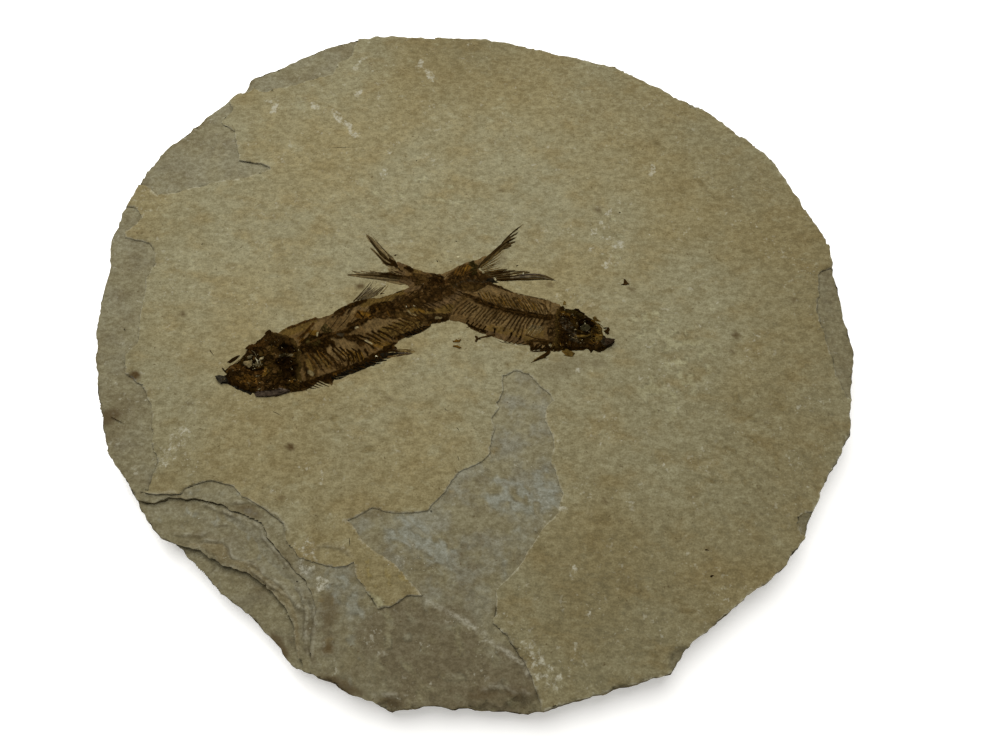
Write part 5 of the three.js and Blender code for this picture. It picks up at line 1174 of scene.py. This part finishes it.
def head(fish, settings):
    """The crushed skull: a low crumbled mass with raised plates and a sunken eye."""
    seed = fish.head_seed
    bm, places, top = film_body(fish.head, settings.head_pitch)
    edge = smoothstep(-0.05, 1.0, inside(places, fish.head) + 0.2 * lumps(places, 0.8, seed + 21))
    bent = places.copy()
    bent[:, 0] += 0.4 * lumps(places, 1.4, seed + 4) + 0.2 * lumps(places, 0.6, seed + 14)
    bent[:, 1] += 0.4 * lumps(places, 1.4, seed + 5) + 0.2 * lumps(places, 0.6, seed + 15)
    height = 0.42 + swell(places)
    for rise, slope, plate in fish.plates:
        height = height + rise * smoothstep(-slope / 2, slope, inside(bent, plate))
    splinters = np.abs(lumps(bent, 1.3, seed + 6, stretch=1.8))
    crumbs = np.abs(lumps(bent, 0.62, seed + 7, stretch=1.4))
    grit = lumps(places, 0.32, seed + 8)
    shards, broken = crumbled(bent, 0.85, seed + 29)
    height += 0.22 * splinters + 0.14 * crumbs + 0.07 * grit + 0.2 * broken
    away = to_line(bent, [fish.eye])
    socket = 1 - smoothstep(fish.socket * 0.55, fish.socket, away)
    height -= 0.3 * socket
    colours = clouded(places, "head", fish.head_strokes, seed)
    gleam = 0.84 + 0.7 * crumbs + 0.6 * splinters + 0.25 * grit
    colours *= gleam[:, None] * shards
    joined = 1 - smoothstep(0.2, 1.8, inside(bent, fish.head))
    joined *= smoothstep(0.2, 1.4, inside(places, fish.skin))
    film = np.array(hex_colour(TINTS["skin_ochre"])) * (1 + 0.5 * streaks(places, 20, seed + 17))[:, None]
    share = 0.4 * joined[:, None]
    set_tints(bm, colours * (1 - share) + film * share)
    places[:, 2] = np.where(top, FACE - EDGE_SINK + height * edge, places[:, 2])
    jostle(places, (0.14, 0.8, (seed + 1, seed + 2)), (0.07, 0.35, (seed + 31, seed + 33)))
    move_to(bm, places)
    return bm


def shade(tint, rng, spread=0.3):
    """A tint made a little lighter or darker."""
    factor = 1 + rng.uniform(-spread, spread)
    return tuple(c * factor for c in hex_colour(TINTS[tint]))


def surface(*names):
    """The height of the fish under a place, from pieces made before, or of the bare stone beside them."""
    tops = []
    for name in names:
        tops += [v.co / MM for v in bpy.data.objects[name].data.vertices if v.co.z / MM > FACE - SUNK / 2]
    # A fixed order, so that of two tops over one place each run finds the same one
    tops.sort(key=tuple)
    tree = kdtree.KDTree(len(tops))
    for i, top in enumerate(tops):
        tree.insert((top.x, top.y, 0), i)
    tree.balance()

    def at(x, y):
        stone = FACE + float(swell(np.array([[x, y]]))[0])
        _place, i, gap = tree.find((x, y, 0))
        return max(tops[i].z, stone) if gap < 0.4 else stone
    return at


def bone_rows(bm, rows, base_at, wander, seed, rings=7):
    rng, tones = random.Random(seed), random.Random(seed + 50)
    for row in rows:
        for path, width, height, tint in row_paths(row, rng, wander):
            rod(bm, path, width, height, base_at, shade(tint, tones), rings=rings)


def ray_rods(bm, rays, base_at, seed):
    rng = random.Random(seed)
    for width, tint, path in rays:
        height = min(0.6 * width + 0.06, 0.26)
        rod(bm, [Vector(p) for p in path], width, height, base_at, shade(tint, rng, 0.15), rings=14,
            shape=leaf)


def vertebrae(bm, column, count, width, height, base_at, seed):
    """The backbone: hourglass vertebrae end to end, each a little crushed and half buried."""
    rng = random.Random(seed)
    for i in range(count):
        ends = [curve_point(column, (i + s) / count)[0] for s in (0.04, 0.5, 0.96)]
        size = (1 - 0.4 * i / count) * rng.uniform(0.75, 1.15)
        off = Vector((rng.uniform(-0.12, 0.12), rng.uniform(-0.12, 0.12)))
        path = [p + off for p in ends]
        rod(bm, path, width * size, height * size, base_at, shade("umber", rng, 0.4), sides=8, rings=4,
            shape=lambda s: 0.62 + 0.38 * abs(2 * s - 1) ** 1.5)


def chip(bm, spot, turn, size, tint, rng):
    """A broken splinter of bone: a small ball with its corners knocked about."""
    made = bmesh.ops.create_icosphere(bm, subdivisions=1, radius=1)
    layer = bm.verts.layers.float_color["tint"]
    tilt = Euler((rng.uniform(-0.5, 0.5), rng.uniform(-0.5, 0.5), turn)).to_matrix()
    for v in made["verts"]:
        knock = rng.uniform(0.65, 1.3)
        corner = tilt @ Vector([v.co[i] * size[i] * knock for i in range(3)])
        v.co = Vector(spot) + corner
        v[layer] = (*tint, 1)


def scatter(bm, count, outline, choices, base_at, seed, low=0.06, high=0.24):
    """Strews splinters of bone inside an outline."""
    rng = random.Random(seed)
    xs, ys = [p[0] for p in outline], [p[1] for p in outline]
    tries = np.array([(rng.uniform(min(xs), max(xs)), rng.uniform(min(ys), max(ys)))
                      for _ in range(4 * count)])
    kept = tries[inside(tries, outline) > 0.2][:count]
    for x, y in kept:
        long = low + (high - low) * rng.random() ** 2
        wide = long * rng.uniform(0.3, 0.8)
        spot = (x, y, base_at(x, y) + 0.02)
        turn = rng.uniform(0, math.pi)
        chip(bm, spot, turn, (long, wide, wide * 0.6), shade(rng.choice(choices), rng), rng)


def flake(bm, outline, base_at, thickness, tint, tilt):
    """A thin flat piece of bone with a bevelled rim."""
    middle = Vector((sum(p[0] for p in outline), sum(p[1] for p in outline))) / len(outline)
    base = base_at(middle.x, middle.y)
    part = bones_mesh()
    extrude_outline(part, outline, base - 0.15, 0.15 + 0.5 * thickness)
    top = max(part.faces, key=lambda f: f.calc_center_median().z)
    bmesh.ops.inset_region(part, faces=[top], thickness=0.1, depth=0.3 * thickness)
    bmesh.ops.triangulate(part, faces=[f for f in part.faces if len(f.verts) > 4])
    bmesh.ops.subdivide_edges(part, edges=part.edges, cuts=3, use_grid_fill=True)
    layer = part.verts.layers.float_color["tint"]
    for v in part.verts:
        crumpled = noise.noise(Vector((v.co.x * 2.2, v.co.y * 2.2, 1.5)))
        pitted = noise.noise(Vector((v.co.x * 6, v.co.y * 6, 2.5)))
        if v.co.z > base:
            lean = (v.co.x - middle.x) * tilt[0] + (v.co.y - middle.y) * tilt[1]
            v.co.z += lean + 0.1 * crumpled + 0.05 * pitted
        v.co.x += 0.1 * pitted
        v.co.y += 0.1 * crumpled
        v[layer] = (*[c * (1 + 0.6 * crumpled + 0.7 * pitted) for c in tint], 1)
    add_to(bm, part)


# Materials

def node(tree, kind, inputs=(), out=0, **settings):
    """Adds a node with its settings, links or sets its inputs by name or in order, and gives one output."""
    made = tree.nodes.new("ShaderNode" + kind)
    for name, value in settings.items():
        setattr(made, name, value)
    for key, value in (inputs.items() if isinstance(inputs, dict) else enumerate(inputs)):
        socket = made.inputs[key]
        if isinstance(value, bpy.types.NodeSocket):
            tree.links.new(value, socket)
        else:
            socket.default_value = (*value, 1) if socket.type == "RGBA" and len(value) == 3 else value
    return made.outputs[out]


def new_material(name):
    """A new material with its node tree and its shader."""
    material = bpy.data.materials.new(name)
    material.use_nodes = True
    tree = material.node_tree
    shader = next(n for n in tree.nodes if n.type == "BSDF_PRINCIPLED")
    return material, tree, shader


def per_metre(size):
    """Texture scale for a pattern whose features are that many millimetres across."""
    return 1 / (size * MM)


def split_limestone(settings):
    """Limestone split along its bedding: matt and papery, mottled tan, greyer with bloom where bared."""
    material, tree, shader = new_material("split limestone")
    add = partial(node, tree)
    soft = {"interpolation_type": "SMOOTHSTEP"}
    rgb = {"data_type": "RGBA"}
    place = add("TexCoord", out=3)
    streaked = add("Mapping", {"Vector": place, "Scale": (0.85, 1.2, 1.0), "Rotation": (0, 0, 0.15)})
    strata = add("Mapping", {"Vector": place, "Scale": (0.05, 0.05, 1.0)})
    # Mottles from hand-wide clouds down to the papery grain; the true grain is finer than a pixel shows
    clouds, patches, blotches, mottle, grain, wisps, bands, clusters, flaky = [
        add("TexNoise", {"Vector": at, "Scale": per_metre(size), "Detail": detail, "Roughness": rough})
        for at, size, detail, rough in (
            (place, 34, 3, 0.5), (streaked, 7, 5, 0.62), (streaked, 3.4, 5, 0.62), (streaked, 1.25, 4, 0.68),
            (place, 0.4, 3, 0.6), (place, 6, 5, 0.62), (strata, 0.55, 3, 0.6), (place, 7, 3, 0.6),
            (place, 1.2, 5, 0.8))]
    # What the mesh says of each place: the foot mark is a painted shadow and the lip mark a painted highlight
    bare, bloom, side, even, spots, foot, chalk, wear_and_lip_highlight = [
        add("Attribute", out=2, attribute_name=name)
        for name in ("bare", "bloom", "side", "tone", "stain", "foot", "chalk", "lip")]
    clouds = add("MapRange", (clouds, 0.35, 0.65, 0, 1), **soft)
    colour = add("Mix", {0: clouds, 6: settings.warm, 7: settings.cool}, 2, **rgb)
    for pattern, low, high, share, tint in (
            (patches, 0.46, 0.7, 0.6, settings.ochre), (blotches, 0.55, 0.72, 0.5, settings.brown),
            (blotches, 0.45, 0.3, 0.4, settings.pale)):
        cover = add("MapRange", (pattern, low, high, 0, share), **soft)
        colour = add("Mix", {0: cover, 6: colour, 7: tint}, 2, **rgb)
    # Bared beds are greyer and take a chalk bloom
    dark_bed = add("MapRange", (patches, 0.4, 0.7, 0, 1), **soft)
    bed = add("Mix", {0: dark_bed, 6: settings.grey, 7: settings.grey_dark}, 2, **rgb)
    colour = add("Mix", {0: bare, 6: colour, 7: bed}, 2, **rgb)
    wisps = add("MapRange", (wisps, 0.4, 0.64, 0, 0.7), **soft)
    bloom = add("Math", (wisps, bloom), operation="MULTIPLY")
    colour = add("Mix", {0: bloom, 6: colour, 7: settings.bloom}, 2, **rgb)
    # Painted strokes: stains and scars that lie at a certain place
    stroke = add("Attribute", attribute_name="tint")
    cover = add("Attribute", out=3, attribute_name="tint")
    broken = add("MapRange", (blotches, 0.36, 0.5, 0.55, 1), **soft)
    cover = add("Math", (cover, broken), operation="MULTIPLY")
    colour = add("Mix", {0: cover, 6: colour, 7: stroke}, 2, **rgb)
    # The broken side shows its layers as bands
    bands = add("MapRange", (bands, 0.38, 0.62, 0, 1), **soft)
    broken_side = add("Mix", {0: bands, 6: settings.side_dark, 7: settings.side}, 2, **rgb)
    colour = add("Mix", {0: side, 6: colour, 7: broken_side}, 2, **rgb)
    tone = add("MapRange", (mottle, 0.28, 0.74, 0.77, 1.25), **soft)
    # The tone mark brings in the painted fall-off of light towards the rim
    for factor in (add("MapRange", (grain, 0.3, 0.7, 0.87, 1.13), **soft), even):
        tone = add("Math", (tone, factor), operation="MULTIPLY")
    # Dark mottles turn browner than pale ones
    light = add("MapRange", (tone, 0.7, 1.1, 0, 1), **soft)
    tinge = add("Mix", {0: light, 6: settings.shadow, 7: (1.0, 1.0, 1.0)}, 2, **rgb)
    tone = add("CombineColor", (tone, tone, tone))
    for factor in (tone, tinge):
        colour = add("Mix", {0: 1.0, 6: colour, 7: factor}, 2, blend_type="MULTIPLY", **rgb)
    # Pale flecks and dark pits in loose clusters
    for size, low, high, share, near, far, tint in (
            (0.55, 0.64, 0.73, 0.5, 0.5, 0.66, settings.chalk),
            (1.2, 0.6, 0.72, 0.34, 0.46, 0.64, settings.chalk),
            (0.7, 0.36, 0.29, 0.6, 0.56, 0.4, settings.stain)):
        specks = add("TexNoise", {"Vector": place, "Scale": per_metre(size), "Detail": 3, "Roughness": 0.55})
        specks = add("MapRange", (specks, low, high, 0, share), **soft)
        crowd = add("MapRange", (clusters, near, far, 0.12, 1), **soft)
        specks = add("Math", (specks, crowd), operation="MULTIPLY")
        colour = add("Mix", {0: specks, 6: colour, 7: tint}, 2, **rgb)
    uneven = add("MapRange", (mottle, 0.2, 0.55, 0.6, 1), **soft)
    spots = add("Math", (spots, uneven), operation="MULTIPLY")
    # Painted shadow along the foot of thin layers
    foot = add("Math", (foot, 0.55), operation="MULTIPLY")
    # Chalk comes off in dabs with crisp, crumbled edges
    chalk = add("Math", (chalk, 0.42, flaky), operation="MULTIPLY_ADD")
    chalk = add("MapRange", (chalk, 0.81, 1, 0, 0.6), **soft)
    # Painted highlight on the lips of ledges and thin layers, in the chalk colour
    lip = add("MapRange", (mottle, 0.4, 0.6, 0.1, 0.5), **soft)
    lip = add("Math", (wear_and_lip_highlight, lip), operation="MULTIPLY")
    for cover, tint in (
            (spots, settings.stain), (foot, settings.foot), (chalk, settings.chalk), (lip, settings.chalk)):
        colour = add("Mix", {0: cover, 6: colour, 7: tint}, 2, **rgb)
    tree.links.new(colour, shader.inputs["Base Color"])
    shader.inputs["Roughness"].default_value = 0.92
    shader.inputs["Specular IOR Level"].default_value = 0.1
    relief = add("Math", (mottle, 0.6), operation="MULTIPLY")
    relief = add("Math", (relief, grain), operation="ADD")
    bump = add("Bump", {"Strength": 0.55, "Distance": 0.16 * MM, "Height": relief})
    tree.links.new(bump, shader.inputs["Normal"])
    return material


def fossil_bone(name, settings, relief):
    """Mineralised bone: brown-black to amber, crumbly, nearly without gleam so that its darks stay deep."""
    material, tree, shader = new_material(name)
    add = partial(node, tree)
    soft = {"interpolation_type": "SMOOTHSTEP"}
    place = add("TexCoord", out=3)
    colour = add("Attribute", attribute_name="tint")
    mottle, grain, glow = [
        add("TexNoise", {"Vector": place, "Scale": per_metre(size), "Detail": detail, "Roughness": rough})
        for size, detail, rough in ((0.9, 4, 0.7), (0.22, 3, 0.6), (1.4, 3, 0.6))]
    coarse = add("MapRange", (mottle, 0.3, 0.7, 0.72, 1.3), **soft)
    fine = add("MapRange", (grain, 0.3, 0.7, 0.8, 1.22), **soft)
    tone = add("Math", (coarse, fine), operation="MULTIPLY")
    tone = add("CombineColor", (tone, tone, tone))
    colour = add("Mix", {0: 1.0, 6: colour, 7: tone}, 2, data_type="RGBA", blend_type="MULTIPLY")
    glow = add("MapRange", (glow, 0.56, 0.72, 0, 0.05), **soft)
    colour = add("Mix", {0: glow, 6: colour, 7: settings.amber}, 2, data_type="RGBA")
    tree.links.new(colour, shader.inputs["Base Color"])
    shader.inputs["Roughness"].default_value = 0.75
    shader.inputs["Specular IOR Level"].default_value = settings.gloss
    shader.inputs["IOR"].default_value = 1.25
    height = add("Math", (mottle, grain), operation="ADD")
    bump = add("Bump", {"Strength": 0.6, "Distance": relief * MM, "Height": height})
    tree.links.new(bump, shader.inputs["Normal"])
    return material


# Settings

def colour(name, description, text):
    """A colour that can be set, with its default from an sRGB hex value."""
    return bpy.props.FloatVectorProperty(
        name=name, description=description, subtype="COLOR", default=hex_colour(text))


def length(name, description, default, least):
    """A length that can be set, with its default and least value in millimetres."""
    return bpy.props.FloatProperty(
        name=name, description=description, default=default * MM, min=least * MM, unit="LENGTH")


class StoneSettings(bpy.types.PropertyGroup):
    pitch: length("Pitch", "Spacing of the stone's mesh", 0.75, 0.3)
    lamina: length("Lamina", "Thickness of one layer in the broken side", 0.5, 0.2)
    raggedness: length("Raggedness", "How far broken edges wander", 0.42, 0)
    warm: colour("Warm tan", "Split face, warm parts", "#7d7353")
    cool: colour("Cool tan", "Split face, cool parts", "#7d775c")
    ochre: colour("Ochre", "Ochre patches on the face", "#776a48")
    brown: colour("Brown", "Brown blotches on the face", "#6b6040")
    pale: colour("Pale", "Pale blotches on the face", "#8c886d")
    grey: colour("Grey", "Bared bed", "#787259")
    grey_dark: colour("Dark grey", "Bared bed, dark parts", "#6a624a")
    bloom: colour("Bloom", "Chalk bloom on the bared bed", "#7c7c70")
    chalk: colour("Chalk", "Chalky scars and flecks", "#aeab99")
    # The foot colour is a painted shadow along the foot of thin layers
    stain: colour("Stain", "Rusty spots and pits", "#43331a")
    foot: colour("Foot", "Dirt along the foot of thin layers", "#37301f")
    shadow: bpy.props.FloatVectorProperty(
        name="Dark mottle", description="How much warmer the dark mottles are", subtype="COLOR",
        default=(1.0, 0.955, 0.86))
    side: colour("Side", "Broken side, light layers", "#746b4e")
    side_dark: colour("Dark side", "Broken side, dark layers", "#4c4430")


class FishSettings(bpy.types.PropertyGroup):
    film_pitch: length("Film pitch", "Spacing of the skin's mesh", 0.17, 0.1)
    head_pitch: length("Head pitch", "Spacing of the head's mesh", 0.14, 0.08)
    amber: colour("Amber", "Amber glow in the bone", "#6a4415")
    gloss: bpy.props.FloatProperty(
        name="Gloss", description="Specular level of bone and film", default=0.01, min=0, max=1,
        subtype="FACTOR")
    crumbs: bpy.props.IntProperty(
        name="Crumbs", description="Splinters of bone on each head", default=700, min=0)


class StageSettings(bpy.types.PropertyGroup):
    floor: colour("Floor", "Floor colour", "#f8f7f4")
    glow: bpy.props.FloatProperty(
        name="Glow", description="Strength of the light from within the board", default=0.35, min=0)
    softbox: bpy.props.FloatProperty(
        name="Softbox", description="Power of the light overhead", default=5.2, min=0, unit="POWER")
    key: bpy.props.FloatProperty(
        name="Key light", description="Power of the window light", default=4.6, min=0, unit="POWER")
    sky: bpy.props.FloatProperty(
        name="Sky", description="Strength of the light from all round", default=0.33, min=0)
    lens: bpy.props.FloatProperty(name="Lens", description="Focal length", default=31.2, min=1, unit="CAMERA")


def stone_material(settings):
    return bpy.data.materials.get("split limestone") or split_limestone(settings)


def bone_material(settings, name="mineralised bone", relief=0.16):
    return bpy.data.materials.get(name) or fossil_bone(name, settings, relief)


class FOSSIL_OT_limestone_slab(bpy.types.Operator):
    """Dress the plate: split face, bared beds and broken rim"""
    bl_idname = "fossil.limestone_slab"
    bl_label = "Limestone slab"

    def execute(self, context):
        settings = context.scene.fossil_stone
        bm = limestone_body(settings)
        roughen_limestone(bm, settings)
        for drop, thickness, slope, tint, cover, outline in REMNANTS:
            add_to(bm, remnant(drop, thickness, slope, tint, cover, outline, settings))
        new_piece("split_limestone_slab", bm, stone_material(settings), "split_limestone", "limestone_slab")
        return {"FINISHED"}


class FOSSIL_OT_skins(bpy.types.Operator):
    """Lay the thin brown film of skin under each fish, with the stains of its fins"""
    bl_idname = "fossil.skins"
    bl_label = "Skin films"

    def execute(self, context):
        settings = context.scene.fossil_fish
        for fish in (SMALL, LARGE):
            bm = skin(fish, settings)
            for i, (tint, lean, fin) in enumerate(fish.webs):
                add_to(bm, web(tint, lean, fin, fish.skin_seed + 90 + i, settings))
            film = bone_material(settings, "carbonised skin film", 0.1)
            new_piece(fish.name + "_skin", bm, film, fish.slot, fish.name)
        return {"FINISHED"}


class FOSSIL_OT_heads(bpy.types.Operator):
    """Build the crushed skulls"""
    bl_idname = "fossil.heads"
    bl_label = "Heads"

    def execute(self, context):
        settings = context.scene.fossil_fish
        for fish in (LARGE, SMALL):
            bm = head(fish, settings)
            new_piece(fish.name + "_head", bm, bone_material(settings), fish.slot, fish.name)
        return {"FINISHED"}


class FOSSIL_OT_shards(bpy.types.Operator):
    """Lay sheets and splinters of broken bone over the skulls and along the backbones"""
    bl_idname = "fossil.shards"
    bl_label = "Shards"

    def execute(self, context):
        settings = context.scene.fossil_fish
        base_at = surface("large_fish_skin", "small_fish_skin", "large_fish_head", "small_fish_head")
        for fish in (LARGE, SMALL):
            rng = random.Random(fish.shard_seed)
            bm = bones_mesh()
            for tint, thickness, tilt, sheet in fish.shards:
                flake(bm, sheet, base_at, thickness, shade(tint, rng, 0.1), tilt)
            ray_rods(bm, fish.slivers, base_at, fish.shard_seed + 2)
            scatter(bm, settings.crumbs, fish.head, HEAD_CHIPS, base_at, fish.shard_seed)
            scatter(bm, settings.crumbs // 2, fish.skin, BODY_CHIPS, base_at, fish.shard_seed + 1, 0.04, 0.17)
            new_piece(fish.name + "_shards", bm, bone_material(settings), fish.slot, fish.name, 60)
        return {"FINISHED"}


class FOSSIL_OT_bones(bpy.types.Operator):
    """Lay the backbone, ribs, spines, fin rays and belly scutes of each fish"""
    bl_idname = "fossil.bones"
    bl_label = "Bones"

    def execute(self, context):
        settings = context.scene.fossil_fish
        base_at = surface("large_fish_skin", "small_fish_skin", "large_fish_head", "small_fish_head")
        for fish in (LARGE, SMALL):
            spine, sides, fins, belly = [bones_mesh() for _ in range(4)]
            vertebrae(spine, fish.column, fish.joints, fish.spine_width, fish.spine_width * 0.5, base_at, 8)
            bone_rows(sides, fish.ribs, base_at, fish.wander, 5)
            bone_rows(fins, fish.fins, base_at, 0.14, 12)
            ray_rods(fins, fish.rays, base_at, 13)
            bone_rows(belly, fish.scutes, base_at, 0.14, 14, rings=4)
            for name, bm in (("backbone", spine), ("ribs", sides), ("fin_rays", fins), ("scutes", belly)):
                new_piece(fish.name + "_" + name, bm, bone_material(settings), fish.slot, fish.name)
        return {"FINISHED"}


class FOSSIL_OT_strays(bpy.types.Operator):
    """Scatter the loose flecks of bone on the bare stone"""
    bl_idname = "fossil.strays"
    bl_label = "Stray flecks"

    def execute(self, context):
        settings = context.scene.fossil_fish
        bm = bones_mesh()
        base_at = surface("large_fish_skin")
        ray_rods(bm, STRAYS, base_at, 71)
        for tint, outline in FLECKS:
            flake(bm, outline, base_at, 0.26, hex_colour(TINTS[tint]), (0.03, 0.05))
        new_piece("stray_flecks", bm, bone_material(settings), "dark_fossil_bone")
        return {"FINISHED"}


class FOSSIL_OT_stage(bpy.types.Operator):
    """Set the pale floor, the soft light and the camera"""
    bl_idname = "fossil.stage"
    bl_label = "Stage"

    def execute(self, context):
        settings = context.scene.fossil_stage
        scene = context.scene
        bm = bmesh.new()
        bmesh.ops.create_grid(bm, x_segments=1, y_segments=1, size=2)
        mesh = bpy.data.meshes.new("floor")
        bm.to_mesh(mesh)
        bm.free()
        material, _tree, shader = new_material("satin white board")
        shader.inputs["Base Color"].default_value = (*settings.floor, 1)
        shader.inputs["Roughness"].default_value = 0.3
        # The board is lit from beneath as well, which keeps the plate's shadow faint as in the photo
        shader.inputs["Emission Color"].default_value = (*settings.floor, 1)
        shader.inputs["Emission Strength"].default_value = settings.glow
        mesh.materials.append(material)
        floor = bpy.data.objects.new("floor", mesh)
        scene.collection.objects.link(floor)
        for name, place, size, power in (
                ("softbox", (-0.05, 0.25, 0.75), 0.7, settings.softbox),
                ("window", (-0.35, 0.75, 0.7), 0.4, settings.key)):
            light = bpy.data.lights.new(name, "AREA")
            light.shape = "DISK"
            light.size = size
            light.energy = power
            lamp = bpy.data.objects.new(name, light)
            lamp.location = place
            lamp.rotation_euler = (-lamp.location).to_track_quat("-Z", "Y").to_euler()
            scene.collection.objects.link(lamp)
        world = bpy.data.worlds.new("studio")
        world.use_nodes = True
        background = next(n for n in world.node_tree.nodes if n.type == "BACKGROUND")
        background.inputs["Color"].default_value = (1.0, 0.995, 0.985, 1)
        background.inputs["Strength"].default_value = settings.sky
        scene.world = world
        camera = bpy.data.cameras.new("camera")
        camera.lens = settings.lens
        camera.sensor_width = 36
        camera.clip_start = 0.01
        eye = bpy.data.objects.new("camera", camera)
        eye.location = Vector((8.1, -103.0, 190.9)) * MM
        eye.rotation_euler = (math.radians(25.1), 0, 0)
        scene.collection.objects.link(eye)
        scene.camera = eye
        # The plain view keeps the pale floor white, as on a light table
        scene.view_settings.view_transform = "Standard"
        return {"FINISHED"}


class FOSSIL_PT_plate(bpy.types.Panel):
    """Lists the pieces of the fossil plate"""
    bl_idname = "FOSSIL_PT_plate"
    bl_label = "Fossil fish plate"
    bl_space_type = "VIEW_3D"
    bl_region_type = "UI"
    bl_category = "Fossil"

    def draw(self, context):
        for group in (context.scene.fossil_stone, context.scene.fossil_fish, context.scene.fossil_stage):
            box = self.layout.box()
            for name in group.__annotations__:
                box.prop(group, name)
        for step in STEPS:
            self.layout.operator(step.bl_idname)


STEPS = (FOSSIL_OT_limestone_slab, FOSSIL_OT_skins, FOSSIL_OT_heads, FOSSIL_OT_shards, FOSSIL_OT_bones,
         FOSSIL_OT_strays, FOSSIL_OT_stage)
GROUPS = {"fossil_stone": StoneSettings, "fossil_fish": FishSettings, "fossil_stage": StageSettings}


def register():
    for kind in (*GROUPS.values(), *STEPS, FOSSIL_PT_plate):
        bpy.utils.register_class(kind)
    for name, group in GROUPS.items():
        setattr(bpy.types.Scene, name, bpy.props.PointerProperty(type=group))


def unregister():
    for name in GROUPS:
        delattr(bpy.types.Scene, name)
    for kind in reversed((*GROUPS.values(), *STEPS, FOSSIL_PT_plate)):
        bpy.utils.unregister_class(kind)


def main():
    register()
    bpy.ops.fossil.limestone_slab()
    bpy.ops.fossil.skins()
    bpy.ops.fossil.heads()
    bpy.ops.fossil.shards()
    bpy.ops.fossil.bones()
    bpy.ops.fossil.strays()
    bpy.ops.fossil.stage()


if __name__ == "__main__":
    main()
